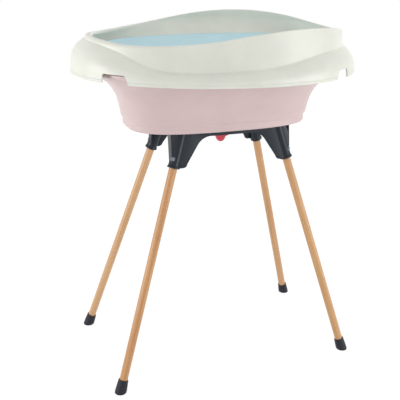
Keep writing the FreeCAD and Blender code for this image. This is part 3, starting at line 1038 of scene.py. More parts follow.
@dataclass
class BathTub:
    """Bath shell with a stepped foot, flaring walls, a turned-down flange and a drain tube."""

    columns: int = 144
    wall: float = 3.0
    half_length: float = 272.0
    half_width: float = 137.0
    bottom: float = 738.0
    height: float = 177.0
    flange_reach: float = 388.0
    flange_width: float = 279.0
    plinth_lip: float = 6.0
    seat: float = 746.2
    floor_thickness: float = 4.0
    flange_lip: float = 10.0
    drain_x: float = 22.0
    bore: float = 34.0
    tube_wall: float = 4.0
    tube_end: float = 697.0
    dish: float = 3.0
    dish_depth: float = 1.5
    peg_diameter: float = 9.0
    peg_length: float = 8.0
    peg_x: float = 172.0
    peg_y: float = 84.5
    stand_x: float = 14.0
    # Height share, length share, width share and power of the wall above the step
    wall_shares: tuple[tuple[float, ...], ...] = (
        (0.152, 0.040, 0.034, 3.0),
        (0.290, 0.078, 0.066, 3.0),
        (0.480, 0.155, 0.128, 3.0),
        (0.660, 0.325, 0.285, 2.9),
        (0.800, 0.560, 0.515, 2.7),
        (0.905, 0.790, 0.755, 2.4),
        (0.962, 0.950, 0.945, 2.1),
    )

    def outline(self, length_share: float, width_share: float, height_share: float, power: float) -> Outline:
        """Outline from its shares of the tub's flare and height."""
        return Outline(
            self.half_length + (self.flange_reach - self.half_length) * length_share,
            self.half_width + (self.flange_width - self.half_width) * width_share,
            power,
            self.bottom + self.height * height_share,
        )

    def wall_outline(self, height_share: float, margin: float = 0.0) -> Outline:
        """Outline of the flaring wall, set in by a margin square to the wall."""
        length, width, power = smooth_row(self.wall_shares, height_share)
        outline = self.outline(length, width, height_share, power)
        if margin == 0:
            return outline
        step = 0.01
        ahead = smooth_row(self.wall_shares, height_share + step)
        behind = smooth_row(self.wall_shares, height_share - step)
        run = (ahead[0] - behind[0]) * (self.flange_reach - self.half_length)
        span = min(height_share + step, self.wall_shares[-1][0]) - max(height_share - step, self.wall_shares[0][0])
        rise = span * self.height
        length = sqrt(run ** 2 + rise ** 2)
        return Outline(
            outline.half_length - margin * rise / length,
            outline.half_width - margin * rise / length,
            power,
            outline.height + margin * run / length,
        )

    def skin(self) -> bmesh.types.BMesh:
        """Closed skin, up the drain's bore, over the bath and back under the foot."""
        columns = bearings(self.columns, self.half_length, self.half_width)
        top = self.bottom + self.height
        floor = self.seat + self.floor_thickness
        radius = self.bore / 2

        def round_drain(reach: float, height: float) -> Place:
            return lambda b: Vector((self.drain_x + reach * cos(b), reach * sin(b), height))

        low, high = self.wall_shares[0][0], self.wall_shares[-1][0]
        shares = [low + (high - low) * k / 12 for k in range(13)]
        inside = [self.wall_outline(share, self.wall) for share in shares if share > low]
        outside = [self.wall_outline(share) for share in reversed(shares)]
        foot = self.outline(-0.035, -0.022, 0.0, 3.0)
        first = inside[0]
        floor_edge = [
            Outline(first.half_length - 26, first.half_width - 26, 3.0, floor),
            Outline(first.half_length - 13, first.half_width - 13, 3.0, floor + 0.3),
            Outline(first.half_length - 5, first.half_width - 5, 3.0, floor + 4.5),
            Outline(first.half_length - 2, first.half_width - 2, 3.0, floor + 10),
        ]
        edge = self.outline(1.0, 1.0, 0.970, 2.1)
        length, width, wall = edge.half_length, edge.half_width, self.wall

        def rim(margin: float, height: float) -> Outline:
            return Outline(length - margin, width - margin, 2.1, height)

        skin = RingSkin(columns, round_drain(radius, self.tube_end))
        places = [round_drain(radius, self.tube_end + 3), round_drain(radius, floor - self.dish_depth - 1)]
        places += [round_drain(radius + 0.3, floor - self.dish_depth)]
        places += [round_drain(radius + self.dish, floor), round_drain(radius + self.dish + 2, floor)]
        places += [round_drain(radius + 40, floor)]
        places += [outline.place for outline in floor_edge + inside]
        places += [rim(3.4, top - 0.6).place, rim(2.6, top).place]
        places += [rim(1.2, top).place, rim(0.2, top - 0.8).place, rim(0.0, top - 2).place]
        places += [rim(0.0, top - self.flange_lip + 0.7).place, rim(0.7, top - self.flange_lip).place]
        places += [rim(wall - 0.7, top - self.flange_lip).place, rim(wall, top - self.flange_lip + 0.7).place]
        places += [rim(wall, edge.height).place]
        places += [outline.place for outline in outside]
        places += [
            self.outline(*shares, 3.0).place
            for shares in (
                (0.038, 0.032, 0.149),
                (0.034, 0.028, 0.1455),
                (0.002, 0.001, 0.1430),
                (0.000, 0.000, 0.139),
                (0.000, 0.000, 0.036),
            )
        ]
        places += [
            self.outline(*shares, 3.0).place for shares in ((0.0, 0.0, 0.022), (-0.012, -0.008, 0.007))
        ]
        places += [foot.place]
        inner = Outline(foot.half_length - self.plinth_lip, foot.half_width - self.plinth_lip, 3.0, self.bottom)
        places += [
            Outline(inner.half_length, inner.half_width, 3.0, height).place
            for height in (self.bottom, self.bottom + 1, self.seat - 1, self.seat)
        ]
        places += [Outline(inner.half_length - 4, inner.half_width - 4, 3.0, self.seat).place]
        outer = radius + self.tube_wall
        places += [round_drain(outer + 30, self.seat), round_drain(outer + 2, self.seat)]
        places += [round_drain(outer, self.seat - 2), round_drain(outer, self.tube_end + 1)]
        places += [round_drain(outer - 0.8, self.tube_end)]
        for place in places:
            skin.grow(place)
        skin.close()
        return skin.mesh

    def peg(self, corner: Corner) -> bmesh.types.BMesh:
        """Locating peg that drops into the frame."""
        radius = self.peg_diameter / 2
        mesh = spun(
            (
                (0, -self.peg_length),
                (radius - 1, -self.peg_length),
                (radius, 1 - self.peg_length),
                (radius, self.floor_thickness / 2),
                (0, self.floor_thickness / 2),
            ),
            32,
        )
        place = (self.stand_x + corner.side_x * self.peg_x, corner.side_y * self.peg_y, self.seat)
        bmesh.ops.translate(mesh, vec=place, verts=mesh.verts)
        return mesh

    def build(self, material: bpy.types.Material) -> bpy.types.Object:
        """Make the tub.

        Args:
            material: its plastic.

        Returns:
            The finished piece.
        """
        tub = as_object(self.skin(), "tub_shell")
        subdivide(tub)
        combine(tub, [as_object(self.peg(corner), "peg") for corner in Corner], Cut.JOIN)
        return dress(tub, material, "tub", ["bath_tub"])


@dataclass
class DrainPlug:
    """Stopper with a flange and a tapered finger knob, and the seal ring in its groove."""

    drain_x: float = 22.0
    seat: float = 696.8
    stem: float = 16.92
    stem_length: float = 14.0
    flange: float = 25.0
    flange_thickness: float = 4.0
    groove_low: float = 6.0
    groove_width: float = 3.0
    groove_depth: float = 2.2
    seal_reach: float = 16.96
    knob_drop: float = 26.0
    # Radius and drop below the seat of the knob's outline
    knob: tuple[tuple[float, float], ...] = (
        (18.5, 4.4),
        (17.2, 6.5),
        (16.0, 10.0),
        (14.4, 14.5),
        (12.2, 18.8),
        (9.4, 22.4),
        (6.0, 24.8),
        (3.0, 25.8),
    )

    def build(self, plastic: bpy.types.Material, rubber: bpy.types.Material) -> None:
        """Make the plug and its seal.

        Args:
            plastic: the plug's plastic.
            rubber: the seal's rubber.
        """
        groove = self.stem - self.groove_depth
        high = self.groove_low + self.groove_width
        profile = [
            (0, self.stem_length),
            (self.stem - 1, self.stem_length),
            (self.stem, self.stem_length - 1),
            (self.stem, high),
            (groove, high),
            (groove, self.groove_low),
            (self.stem, self.groove_low),
            (self.stem, 0),
            (self.flange - 0.6, 0),
            (self.flange, -0.6),
            (self.flange, 1 - self.flange_thickness),
            (self.flange - 0.3, 0.3 - self.flange_thickness),
            (self.flange - 1, -self.flange_thickness),
        ]
        profile += [(radius, -drop) for radius, drop in self.knob]
        profile += [(0, -self.knob_drop)]
        place = Matrix.Translation((self.drain_x, 0, self.seat))
        plug = as_object(spun(profile, 96), "plug_body", place)
        dress(plug, plastic, "drain_plug", ["drain_plug"])
        inner, outer, round_off = groove, self.seal_reach, 0.5
        ring = spun(
            (
                (inner, self.groove_low),
                (outer - round_off, self.groove_low),
                (outer, self.groove_low + round_off),
                (outer, high - round_off),
                (outer - round_off, high),
                (inner, high),
            ),
            96,
            closed=True,
        )
        seal = as_object(ring, "seal_ring", place)
        dress(seal, rubber, "drain_plug", ["plug_seal"])


# Stand


@dataclass
class StandSizes:
    """Sizes that the stand's pieces share."""

    stand_x: float = 14.0
    foot_x: float = 370.0
    foot_y: float = 209.5
    mouth_x: float = 177.8
    mouth_y: float = 106.3
    mouth_height: float = 636.5
    leg_radius: float = 12.0
    leg_insertion: float = 74.0
    leg_start: float = 12.0
    leg_edge: float = 1.5
    gap: float = 0.08
    socket_wall: float = 4.0
    button_bearing: float = 40.0
    button_rise: float = 25.5
    button_across: float = 13.4
    button_along: float = 10.4
    button_corner: float = 1.6
    button_proud: float = 0.6
    button_back: float = 1.6
    button_play: float = 0.3
    rib_height: float = 1.0
    spring_thickness: float = 0.6

    @property
    def socket_radius(self) -> float:
        """Outer radius of a leg socket."""
        return self.leg_radius + self.gap + self.socket_wall

    @property
    def pocket_floor(self) -> float:
        """Depth of a leg's pocket below its axis."""
        travel = self.socket_wall + self.button_proud + self.rib_height + self.gap
        return travel + 3 * self.spring_thickness + self.button_play - self.button_back


class LegLine:
    """Axis of one leg and of its button."""

    def __init__(self, sizes: StandSizes, corner: Corner) -> None:
        """Work the line out.

        Args:
            sizes: the stand's sizes.
            corner: corner that the leg stands at.
        """
        self.corner = corner
        self.foot = Vector((sizes.stand_x + corner.side_x * sizes.foot_x, corner.side_y * sizes.foot_y, 0))
        self.mouth = Vector(
            (sizes.stand_x + corner.side_x * sizes.mouth_x, corner.side_y * sizes.mouth_y, sizes.mouth_height)
        )
        self.length = (self.mouth - self.foot).length
        self.axis = (self.mouth - self.foot).normalized()
        bearing = radians(sizes.button_bearing)
        outward = Vector((corner.side_x * cos(bearing), corner.side_y * sin(bearing), 0))
        self.out = (outward - self.axis * outward.dot(self.axis)).normalized()
        self.across = self.axis.cross(self.out)
        self.button = self.mouth + self.axis * sizes.button_rise

    def along(self, distance: float = 0.0) -> Matrix:
        """Place with Z along the leg, at a distance from the floor."""
        origin = self.foot + self.axis * distance
        return turned_to(origin, self.out, self.axis.cross(self.out), self.axis)

    def at_button(self) -> Matrix:
        """Place with Z out of the leg at its button."""
        return turned_to(self.button, self.across, self.axis, self.out)


@dataclass
class LegSet:
    """Beech rods, their rubber feet and their push buttons."""

    sizes: StandSizes
    steps: int = 64
    foot_bottom: float = 17.5
    foot_top: float = 14.5
    foot_height: float = 40.0
    sole_round: float = 2.4
    rim_round: float = 1.2
    rib_width: float = 1.6
    rib_pitch: float = 3.9
    rib_margin: float = 1.2

    def rod(self, line: LegLine) -> bpy.types.Object:
        """Rod with rounded ends and the button's pocket."""
        sizes = self.sizes
        low, high = sizes.leg_start, line.length + sizes.leg_insertion
        radius, edge = sizes.leg_radius, sizes.leg_edge
        profile = [(0, low), (radius - edge, low), (radius - edge * 0.3, low + edge * 0.3), (radius, low + edge)]
        profile += [(radius, low + (high - low) * share) for share in (0.25, 0.5, 0.75)]
        profile += [(radius, high - edge), (radius - edge * 0.3, high - edge * 0.3), (radius - edge, high), (0, high)]
        rod = as_object(spun(profile, self.steps), "beech_leg_" + line.corner.label, line.along())
        pocket = self.slot_box(-sizes.pocket_floor, radius * 2)
        combine(rod, [as_object(pocket, "pocket", line.at_button())], Cut.REMOVE)
        return rod

    def slot_box(self, low: float, high: float) -> bmesh.types.BMesh:
        """Clearance of a button, from one depth to another."""
        sizes = self.sizes
        half_x = sizes.button_across / 2 + sizes.button_play
        half_y = sizes.button_along / 2 + sizes.button_play
        mesh = rounded_box((-half_x, -half_y, low), (half_x, half_y, high), 0)
        upright = [e for e in mesh.edges if abs((e.verts[0].co - e.verts[1].co).normalized().z) > 0.9]
        round_edges(mesh, upright, sizes.button_corner, 4)
        return mesh

    def foot(self, line: LegLine) -> bmesh.types.BMesh:
        """Rubber cap that turns from level at the floor to square with the leg at its top."""
        sizes = self.sizes
        columns = [2 * pi * k / self.steps for k in range(self.steps)]
        side = (Vector((1, 0, 0)) - line.axis * line.axis.x).normalized()

        def ring(distance: float, radius: float, level: float) -> Place:
            normal = line.axis.lerp(UP, level).normalized()
            first = (side - normal * side.dot(normal)).normalized()
            second = normal.cross(first)
            centre = line.foot + line.axis * distance
            return lambda b: centre + first * (radius * cos(b)) + second * (radius * sin(b))

        bottom, top, height = self.foot_bottom, self.foot_top, self.foot_height
        hole, rise = sizes.leg_radius + sizes.gap, 1 / line.axis.z
        skin = RingSkin(columns, ring(0, 2, 1))
        skin.cap_first()
        rows = [
            (0, bottom - self.sole_round - 1, 1),
            (0, bottom - self.sole_round, 1),
            (0.25 * self.sole_round * rise, bottom - 0.55 * self.sole_round, 1),
            (0.6 * self.sole_round * rise, bottom - 0.2 * self.sole_round, 1),
            (1.3 * self.sole_round * rise, bottom - 0.02 * self.sole_round, 1),
            (height * 0.3, bottom + (top - bottom) * 0.24, 0.6),
            (height * 0.6, bottom + (top - bottom) * 0.56, 0.2),
            (height - 1.6 * self.rim_round, top + 0.05, 0),
            (height - self.rim_round, top, 0),
            (height - self.rim_round * 0.3, top - self.rim_round * 0.3, 0),
            (height, top - self.rim_round, 0),
            (height, hole + 0.3, 0),
            (height - 0.3, hole, 0),
            (sizes.leg_start + 1, hole, 0),
            (sizes.leg_start - 0.05, hole - 0.5, 0),
            (sizes.leg_start - 0.05, 2, 0),
        ]
        for row in rows:
            skin.grow(ring(*row))
        skin.cap()
        return skin.mesh

    def button(self, line: LegLine) -> bpy.types.Object:
        """Push button with three ribs on its head."""
        sizes = self.sizes
        half_x, half_y = sizes.button_across / 2, sizes.button_along / 2
        face = sizes.socket_radius + sizes.button_proud
        body = rounded_box((-half_x, -half_y, sizes.button_back), (half_x, half_y, face), 0)
        upright = [e for e in body.edges if abs((e.verts[0].co - e.verts[1].co).normalized().z) > 0.9]
        round_edges(body, upright, sizes.button_corner, 4)
        rim = [e for e in sharp_edges(body) if min(v.co.z for v in e.verts) > face - 0.1]
        round_edges(body, rim, 0.4, 2)
        name = "push_button_" + line.corner.label
        button = as_object(body, name, line.at_button())
        ribs = []
        for k in (-1, 0, 1):
            low = (k * self.rib_pitch - self.rib_width / 2, self.rib_margin - half_y, face - sizes.rib_height)
            high = (k * self.rib_pitch + self.rib_width / 2, half_y - self.rib_margin, face + sizes.rib_height)
            ribs.append(as_object(rounded_box(low, high, 0.5, 2), "rib", line.at_button()))
        combine(button, ribs, Cut.JOIN)
        return button

    def build(
        self,
        woods: Sequence[VarnishedBeech],
        rubber: bpy.types.Material,
        plastic: bpy.types.Material,
        lines: Sequence[LegLine],
    ) -> None:
        """Make the rods, feet and buttons.

        Args:
            woods: one finish for each rod.
            rubber: the feet's rubber.
            plastic: the buttons' plastic.
            lines: axes of the legs.
        """
        for wood, line in zip(woods, lines):
            label = line.corner.label
            dress(self.rod(line), wood.build(), "stand", ["leg_" + label])
            foot = as_object(self.foot(line), "rubber_foot_" + label)
            dress(foot, rubber, "stand", ["foot_" + label])
            dress(self.button(line), plastic, "button_" + label, ["leg_button_" + label])


@dataclass
class StandFrame:
    """Frame moulding: four panels with arches, a top ledge and four slanting leg sockets."""

    sizes: StandSizes
    top: float = 746.0
    wall: float = 4.5
    half_length: float = 184.0
    proud: float = 11.0
    beam: float = 26.0
    end_beam: float = 20.0
    ledge_width: float = 22.0
    ledge_thickness: float = 4.0
    ledge_corner: float = 10.0
    edge_round: float = 1.1
    collar_height: float = 9.0
    collar_flare: float = 2.4
    peg_hole: float = 4.58
    peg_depth: float = 16.0
    peg_x: float = 172.0
    peg_y: float = 84.5
    arch_flat: float = 58.0
    arch_middle: tuple[float, float] = (90.0, 33.5)
    arch_bend: tuple[float, float] = (106.0, 50.0)
    web_foot: tuple[float, float] = (138.0, 11.0)
    web_toe_middle: tuple[float, float] = (142.0, 3.5)
    web_toe: float = 152.0
    end_arch_flat: float = 58.0
    end_arch_middle: tuple[float, float] = (69.0, 3.5)
    end_arch_top: tuple[float, float] = (74.0, 14.0)
    end_web_toe: float = 89.0

    def front_y(self, height: float) -> float:
        """Outer face of the front panel at a height; it leans back with the legs."""
        sizes = self.sizes
        slope = (sizes.foot_y - sizes.mouth_y) / sizes.mouth_height
        return -(sizes.mouth_y + self.proud) + slope * (height - sizes.mouth_height)

    def panel(self, half: Sequence[tuple[float, float]], place: Callable[[float, float], Vector], thick: Vector
              ) -> bmesh.types.BMesh:
        """Plate with rounded edges from half an outline.

        Args:
            half: outline on one side, from the top corner to the middle.
            place: gives the point of a place and height.
            thick: vector of the plate's thickness.

        Returns:
            The mesh.
        """
        points = list(half) + [(-across, height) for across, height in reversed(half)]
        mesh = plate([place(*point) for point in points], thick)
        rims = [e for e in sharp_edges(mesh) if any(len(face.verts) > 4 for face in e.link_faces)]
        round_edges(mesh, rims, self.edge_round, 3)
        return mesh

    def long_panel(self, side: int) -> bmesh.types.BMesh:
        """Front or rear panel, whose thin beam sweeps down in arches to the sockets."""
        foot, top = self.sizes.mouth_height, self.top

        def drop(pair: tuple[float, float]) -> tuple[float, float]:
            return pair[0], top - pair[1]

        half = [(self.half_length, top), (self.half_length, foot), (self.web_toe, foot)]
        middle = (self.web_toe_middle[0], foot + self.web_toe_middle[1])
        half += arc_points((self.web_toe, foot), middle, (self.web_foot[0], foot + self.web_foot[1]), 5)[1:]
        flat = (self.arch_flat, top - self.beam)
        half += arc_points(drop(self.arch_bend), drop(self.arch_middle), flat, 10)

        def place(x: float, z: float) -> Vector:
            return Vector((self.sizes.stand_x + x, -side * self.front_y(z), z))

        return self.panel(half, place, Vector((0, -side * self.wall, 0)))

    def end_panel(self, side: int) -> bmesh.types.BMesh:
        """End panel between two sockets."""
        foot, beam = self.sizes.mouth_height, self.top - self.end_beam
        half = [(-self.front_y(self.top), self.top), (-self.front_y(foot), foot), (self.end_web_toe, foot)]
        bend = (self.end_arch_top[0], beam - self.end_arch_top[1])
        middle = (self.end_arch_middle[0], beam - self.end_arch_middle[1])
        half += arc_points(bend, middle, (self.end_arch_flat, beam), 8)
        outer = self.sizes.stand_x + side * self.half_length

        def place(y: float, z: float) -> Vector:
            return Vector((outer, y, z))

        return self.panel(half, place, Vector((-side * self.wall, 0, 0)))

    def ledge(self) -> bpy.types.Object:
        """Flat ledge that carries the tub."""
        x, y, sizes = self.half_length, -self.front_y(self.top), self.sizes
        low, high = self.top - self.ledge_thickness, self.top
        plate = rounded_box((sizes.stand_x - x, -y, low), (sizes.stand_x + x, y, high), self.edge_round * 0.8)
        ledge = as_object(plate, "frame_moulding")
        x, y = x - self.ledge_width, y - self.ledge_width
        hole = rounded_box((sizes.stand_x - x, -y, low - 5), (sizes.stand_x + x, y, high + 5), 0)
        upright = [e for e in hole.edges if abs((e.verts[0].co - e.verts[1].co).normalized().z) > 0.9]
        round_edges(hole, upright, self.ledge_corner, 8)
        combine(ledge, [as_object(hole, "hole")], Cut.REMOVE)
        return ledge

    def socket(self, line: LegLine) -> bpy.types.Object:
        """Slanting tube with a flared collar, cut level under the ledge's top."""
        radius, flare = self.sizes.socket_radius, self.collar_flare
        height = (self.top - self.sizes.mouth_height) / line.axis.z + 30
        profile = [(0, 0), (radius + flare - 0.8, 0), (radius + flare - 0.2, 0.3), (radius + flare, 1.0)]
        profile += [(radius + flare * share, self.collar_height * (1 - share) + 2.2 * share)
                    for share in (0.98, 0.75, 0.5, 0.28, 0.1, 0.0)]
        profile += [(radius, height), (0, height)]
        mesh = spun(profile, 64)
        bmesh.ops.transform(mesh, matrix=line.along(line.length), verts=mesh.verts)
        geometry = list(mesh.verts) + list(mesh.edges) + list(mesh.faces)
        level = (0, 0, self.top - self.ledge_thickness / 2)
        bmesh.ops.bisect_plane(mesh, geom=geometry, plane_co=level, plane_no=(0, 0, 1), clear_outer=True)
        bmesh.ops.holes_fill(mesh, edges=[e for e in mesh.edges if e.is_boundary])
        return as_object(mesh, "socket")

    def build(self, material: bpy.types.Material, lines: Sequence[LegLine], legs: LegSet) -> bpy.types.Object:
        """Make the frame.

        Args:
            material: its plastic.
            lines: axes of the legs.
            legs: the legs, which give the buttons' clearance.

        Returns:
            The finished piece.
        """
        sizes = self.sizes
        made = self.ledge()
        joined = [as_object(self.long_panel(side), "panel") for side in (-1, 1)]
        joined += [as_object(self.end_panel(side), "panel") for side in (-1, 1)]
        joined += [self.socket(line) for line in lines]
        combine(made, joined, Cut.JOIN)
        cuts = []
        radius, depth = sizes.leg_radius + sizes.gap, sizes.leg_insertion + sizes.gap
        for line in lines:
            bore = spun(((0, -20), (radius + 1.2, -20), (radius + 1.2, 0), (radius, 1.2), (radius, depth), (0, depth)), 64)
            cuts.append(as_object(bore, "bore", line.along(line.length)))
            window = legs.slot_box(sizes.leg_radius / 2, sizes.socket_radius * 2)
            cuts.append(as_object(window, "window", line.at_button()))
        for corner in Corner:
            hole = spun(((0, -self.peg_depth), (self.peg_hole, -self.peg_depth), (self.peg_hole, 2), (0, 2)), 32)
            place = (sizes.stand_x + corner.side_x * self.peg_x, corner.side_y * self.peg_y, self.top)
            cuts.append(as_object(hole, "peg_hole", Matrix.Translation(place)))
        combine(made, cuts, Cut.REMOVE)
        return dress(made, material, "stand", ["stand_frame"])


def arc_points(
    start: tuple[float, float], middle: tuple[float, float], end: tuple[float, float], count: int
) -> list[tuple[float, float]]:
    """Points along the circle through three points.

    Args:
        start: first point.
        middle: point that the arc passes.
        end: last point.
        count: number of steps.

    Returns:
        The points, both ends included.
    """
    (ax, ay), (bx, by), (cx, cy) = start, middle, end
    d = 2 * (ax * (by - cy) + bx * (cy - ay) + cx * (ay - by))
    ux = ((ax**2 + ay**2) * (by - cy) + (bx**2 + by**2) * (cy - ay) + (cx**2 + cy**2) * (ay - by)) / d
    uy = ((ax**2 + ay**2) * (cx - bx) + (bx**2 + by**2) * (ax - cx) + (cx**2 + cy**2) * (bx - ax)) / d
    radius = sqrt((ax - ux) ** 2 + (ay - uy) ** 2)
    first, passed, last = (atan2(y - uy, x - ux) for x, y in (start, middle, end))
    turn = (last - first) % (2 * pi)
    if (passed - first) % (2 * pi) > turn:
        turn -= 2 * pi
    angles = [first + turn * k / count for k in range(count + 1)]
    return [(ux + radius * cos(angle), uy + radius * sin(angle)) for angle in angles]


# Changing mat


@dataclass
class ChangingMat:
    """Foam mat in coated cloth: crowned top, drawn-in sides and two welded piping cords."""

    columns: int = 120
    half_length: float = 341.0
    half_width: float = 190.0
    power: float = 2.6
    base: float = 938.3
    thickness: float = 26.0
    crown: float = 5.0
    voxel: float = 5.0
    pressure: float = 4.0
    last_frame: int = 20
    side_cap: float = 2.0
    top_cap: float = 3.0
    piping_radius: float = 1.7
    # Height share and set-back of the body before it swells
    side_rows: tuple[tuple[float, float], ...] = (
        (0.00, 9.0),
        (0.06, 5.0),
        (0.18, 2.6),
        (0.50, 3.4),
        (0.82, 2.6),
        (0.94, 5.0),
        (1.00, 9.0),
    )
    # Size share and crown share of the top
    top_rows: tuple[tuple[float, float], ...] = (
        (0.93, 0.30),
        (0.84, 0.55),
        (0.66, 0.78),
        (0.40, 0.90),
        (0.08, 0.95),
    )
    piping_shares: tuple[float, ...] = (0.2, 0.8)

    def body(self) -> bmesh.types.BMesh:
        """Closed mat, a little smaller than it is when filled."""
        columns = bearings(self.columns, self.half_length, self.half_width)
        swell = 1.2

        def row(share: float, back: float) -> Outline:
            height = self.base + swell * 0.3 + (self.thickness - swell) * share
            return Outline(self.half_length - back, self.half_width - back, self.power, height)

        def top(size: float, crown: float) -> Outline:
            height = self.base + self.thickness - swell + self.crown * crown
            return Outline(self.half_length * size, self.half_width * size, self.power, height)

        first = row(*self.side_rows[0])
        start = Outline(first.half_length * 0.1, first.half_width * 0.1, self.power, first.height)
        skin = RingSkin(columns, start.place)
        skin.cap_first()
        for share, back in self.side_rows:
            skin.grow(row(share, back).place)
        for size, crown in self.top_rows:
            skin.grow(top(size, crown).place)
        skin.cap()
        return skin.mesh

    def piping(self, share: float) -> bmesh.types.BMesh:
        """One cord of piping round the side."""
        columns = bearings(self.columns * 2, self.half_length, self.half_width)
        middle = self.base + self.thickness * share
        radius = self.piping_radius

        def ring(turn: float) -> Place:
            reach = self.half_length - radius * 1.1 + radius * cos(turn)
            width = self.half_width - radius * 1.1 + radius * cos(turn)
            return Outline(reach, width, self.power, middle + radius * sin(turn)).place

        turns = [2 * pi * k / 10 for k in range(10)]
        skin = RingSkin(columns, ring(turns[0]))
        for turn in turns[1:]:
            skin.grow(ring(turn))
        skin.close()
        return skin.mesh

    def swell(self, item: bpy.types.Object) -> None:
        """Fill the mat with air pressure, and keep each point near its start.

        Args:
            item: the remeshed mat.
        """
        rest = [vert.co.copy() for vert in item.data.vertices]
        cloth = item.modifiers.new("fill", "CLOTH")
        cloth.settings.quality = 4
        cloth.settings.mass = 0.3
        cloth.settings.use_pressure = True
        cloth.settings.uniform_pressure_force = self.pressure
        cloth.settings.effector_weights.gravity = 0.0
        cloth.point_cache.frame_start = 1
        cloth.point_cache.frame_end = self.last_frame
        scene = bpy.context.scene
        for number in range(1, self.last_frame + 1):
            scene.frame_set(number)
        graph = bpy.context.evaluated_depsgraph_get()
        swollen = [vert.co.copy() for vert in item.evaluated_get(graph).data.vertices]
        item.modifiers.clear()
        scene.frame_set(1)
        low = self.base * MM
        for vert, start, end in zip(item.data.vertices, rest, swollen):
            move = end - start
            move.x = max(-self.side_cap * MM, min(self.side_cap * MM, move.x))
            move.y = max(-self.side_cap * MM, min(self.side_cap * MM, move.y))
            move.z = max(-self.top_cap * MM, min(self.top_cap * MM, move.z))
            vert.co = start + move
            vert.co.z = max(vert.co.z, low)

    def build(self, material: bpy.types.Material) -> None:
        """Make the mat and its piping.

        Args:
            material: the coated cloth.
        """
        mat = as_object(self.body(), "mat_cushion")
        remesh = mat.modifiers.new("remesh", "REMESH")
        remesh.mode = "VOXEL"
        remesh.voxel_size = self.voxel * MM
        apply_modifiers(mat)
        self.swell(mat)
        relax = mat.modifiers.new("relax", "SMOOTH")
        relax.factor = 0.5
        relax.iterations = 4
        subdivide(mat)
        dress(mat, material, "mat", ["changing_mat"], radians(80))
        for k, share in enumerate(self.piping_shares):
            cord = as_object(self.piping(share), f"mat_piping_{k + 1}")
            dress(cord, material, "mat", [], radians(80))


# Floor, lights and camera


@dataclass(frozen=True)
class WhiteStage:
    """Pale floor that shows white to the camera and keeps a faint shadow."""

    half_size: float = 9.0
    shadow_share: float = 0.2
    glow: float = 1.14

    def build(self) -> None:
        """Make the floor, the world and the lamps."""
        mesh = bmesh.new()
        bmesh.ops.create_grid(mesh, x_segments=2, y_segments=2, size=self.half_size / MM)
        floor = as_object(mesh, "studio_floor")
        floor.data.materials.append(self._floor_material())
        self._world()
        self._lamp("key_lamp", (-3.5, -0.1, 0.9), (0, 0, 0.85), 1.6, 50.0)
        self._lamp("fill_lamp", (2.6, -2.7, 0.9), (0, 0, 0.85), 2.2, 64.0)
        self._lamp("top_lamp", (0.2, 0.4, 3.0), (0, 0.1, 0.9), 2.4, 11.0)
        self._lamp("rear_lamp", (1.8, 2.8, 1.6), (0, 0, 0.8), 2.0, 8.0)

    def _seen(self, tree: bpy.types.NodeTree) -> bpy.types.Node:
        """One for camera, glossy and transmission rays, else zero."""
        path = add_node(tree, "ShaderNodeLightPath")
        first = add_node(
            tree,
            "ShaderNodeMath",
            operation="ADD",
            use_clamp=True,
            links={0: (path, "Is Camera Ray"), 1: (path, "Is Glossy Ray")},
        )
        return add_node(
            tree,
            "ShaderNodeMath",
            operation="ADD",
            use_clamp=True,
            links={0: (first, "Value"), 1: (path, "Is Transmission Ray")},
        )

    def _floor_material(self) -> bpy.types.Material:
        """White floor paint, lifted to white for what the camera sees."""
        material = bpy.data.materials.new("floor_paint")
        material.use_nodes = True
        tree = material.node_tree
        tree.nodes.clear()
        paint = add_node(tree, "ShaderNodeBsdfDiffuse", inputs={"Color": linear("F2F2F2")})
        glow = add_node(tree, "ShaderNodeEmission", inputs={"Color": (1, 1, 1, 1), "Strength": self.glow})
        seen = self._seen(tree)
        share = add_node(
            tree, "ShaderNodeMath", operation="MULTIPLY", inputs={1: 1 - self.shadow_share}, links={0: (seen, "Value")}
        )
        mix = add_node(
            tree,
            "ShaderNodeMixShader",
            links={0: (share, "Value"), 1: (paint, "BSDF"), 2: (glow, "Emission")},
        )
        add_node(tree, "ShaderNodeOutputMaterial", links={"Surface": (mix, "Shader")})
        return material

    def _world(self) -> None:
        """Even white surroundings."""
        world = bpy.data.worlds.new("studio")
        bpy.context.scene.world = world
        world.use_nodes = True
        tree = world.node_tree
        tree.nodes.clear()
        light = add_node(tree, "ShaderNodeBackground", inputs={"Color": (1, 1, 1, 1), "Strength": 0.5})
        white = add_node(tree, "ShaderNodeBackground", inputs={"Color": (1, 1, 1, 1), "Strength": 1.0})
        seen = self._seen(tree)
        mix = add_node(
            tree,
            "ShaderNodeMixShader",
            links={0: (seen, "Value"), 1: (light, "Background"), 2: (white, "Background")},
        )
        add_node(tree, "ShaderNodeOutputWorld", links={"Surface": (mix, "Shader")})

    def _lamp(self, name: str, place: Sequence[float], target: Sequence[float], size: float, power: float) -> None:
        """Square soft lamp that looks at a target."""
        data = bpy.data.lights.new(name, "AREA")
        data.shape = "SQUARE"
        data.size = size
        data.energy = power
        lamp = bpy.data.objects.new(name, data)
        lamp.location = place
        lamp.rotation_mode = "QUATERNION"
        lamp.rotation_quaternion = (Vector(target) - Vector(place)).to_track_quat("-Z", "Y")
        bpy.context.scene.collection.objects.link(lamp)


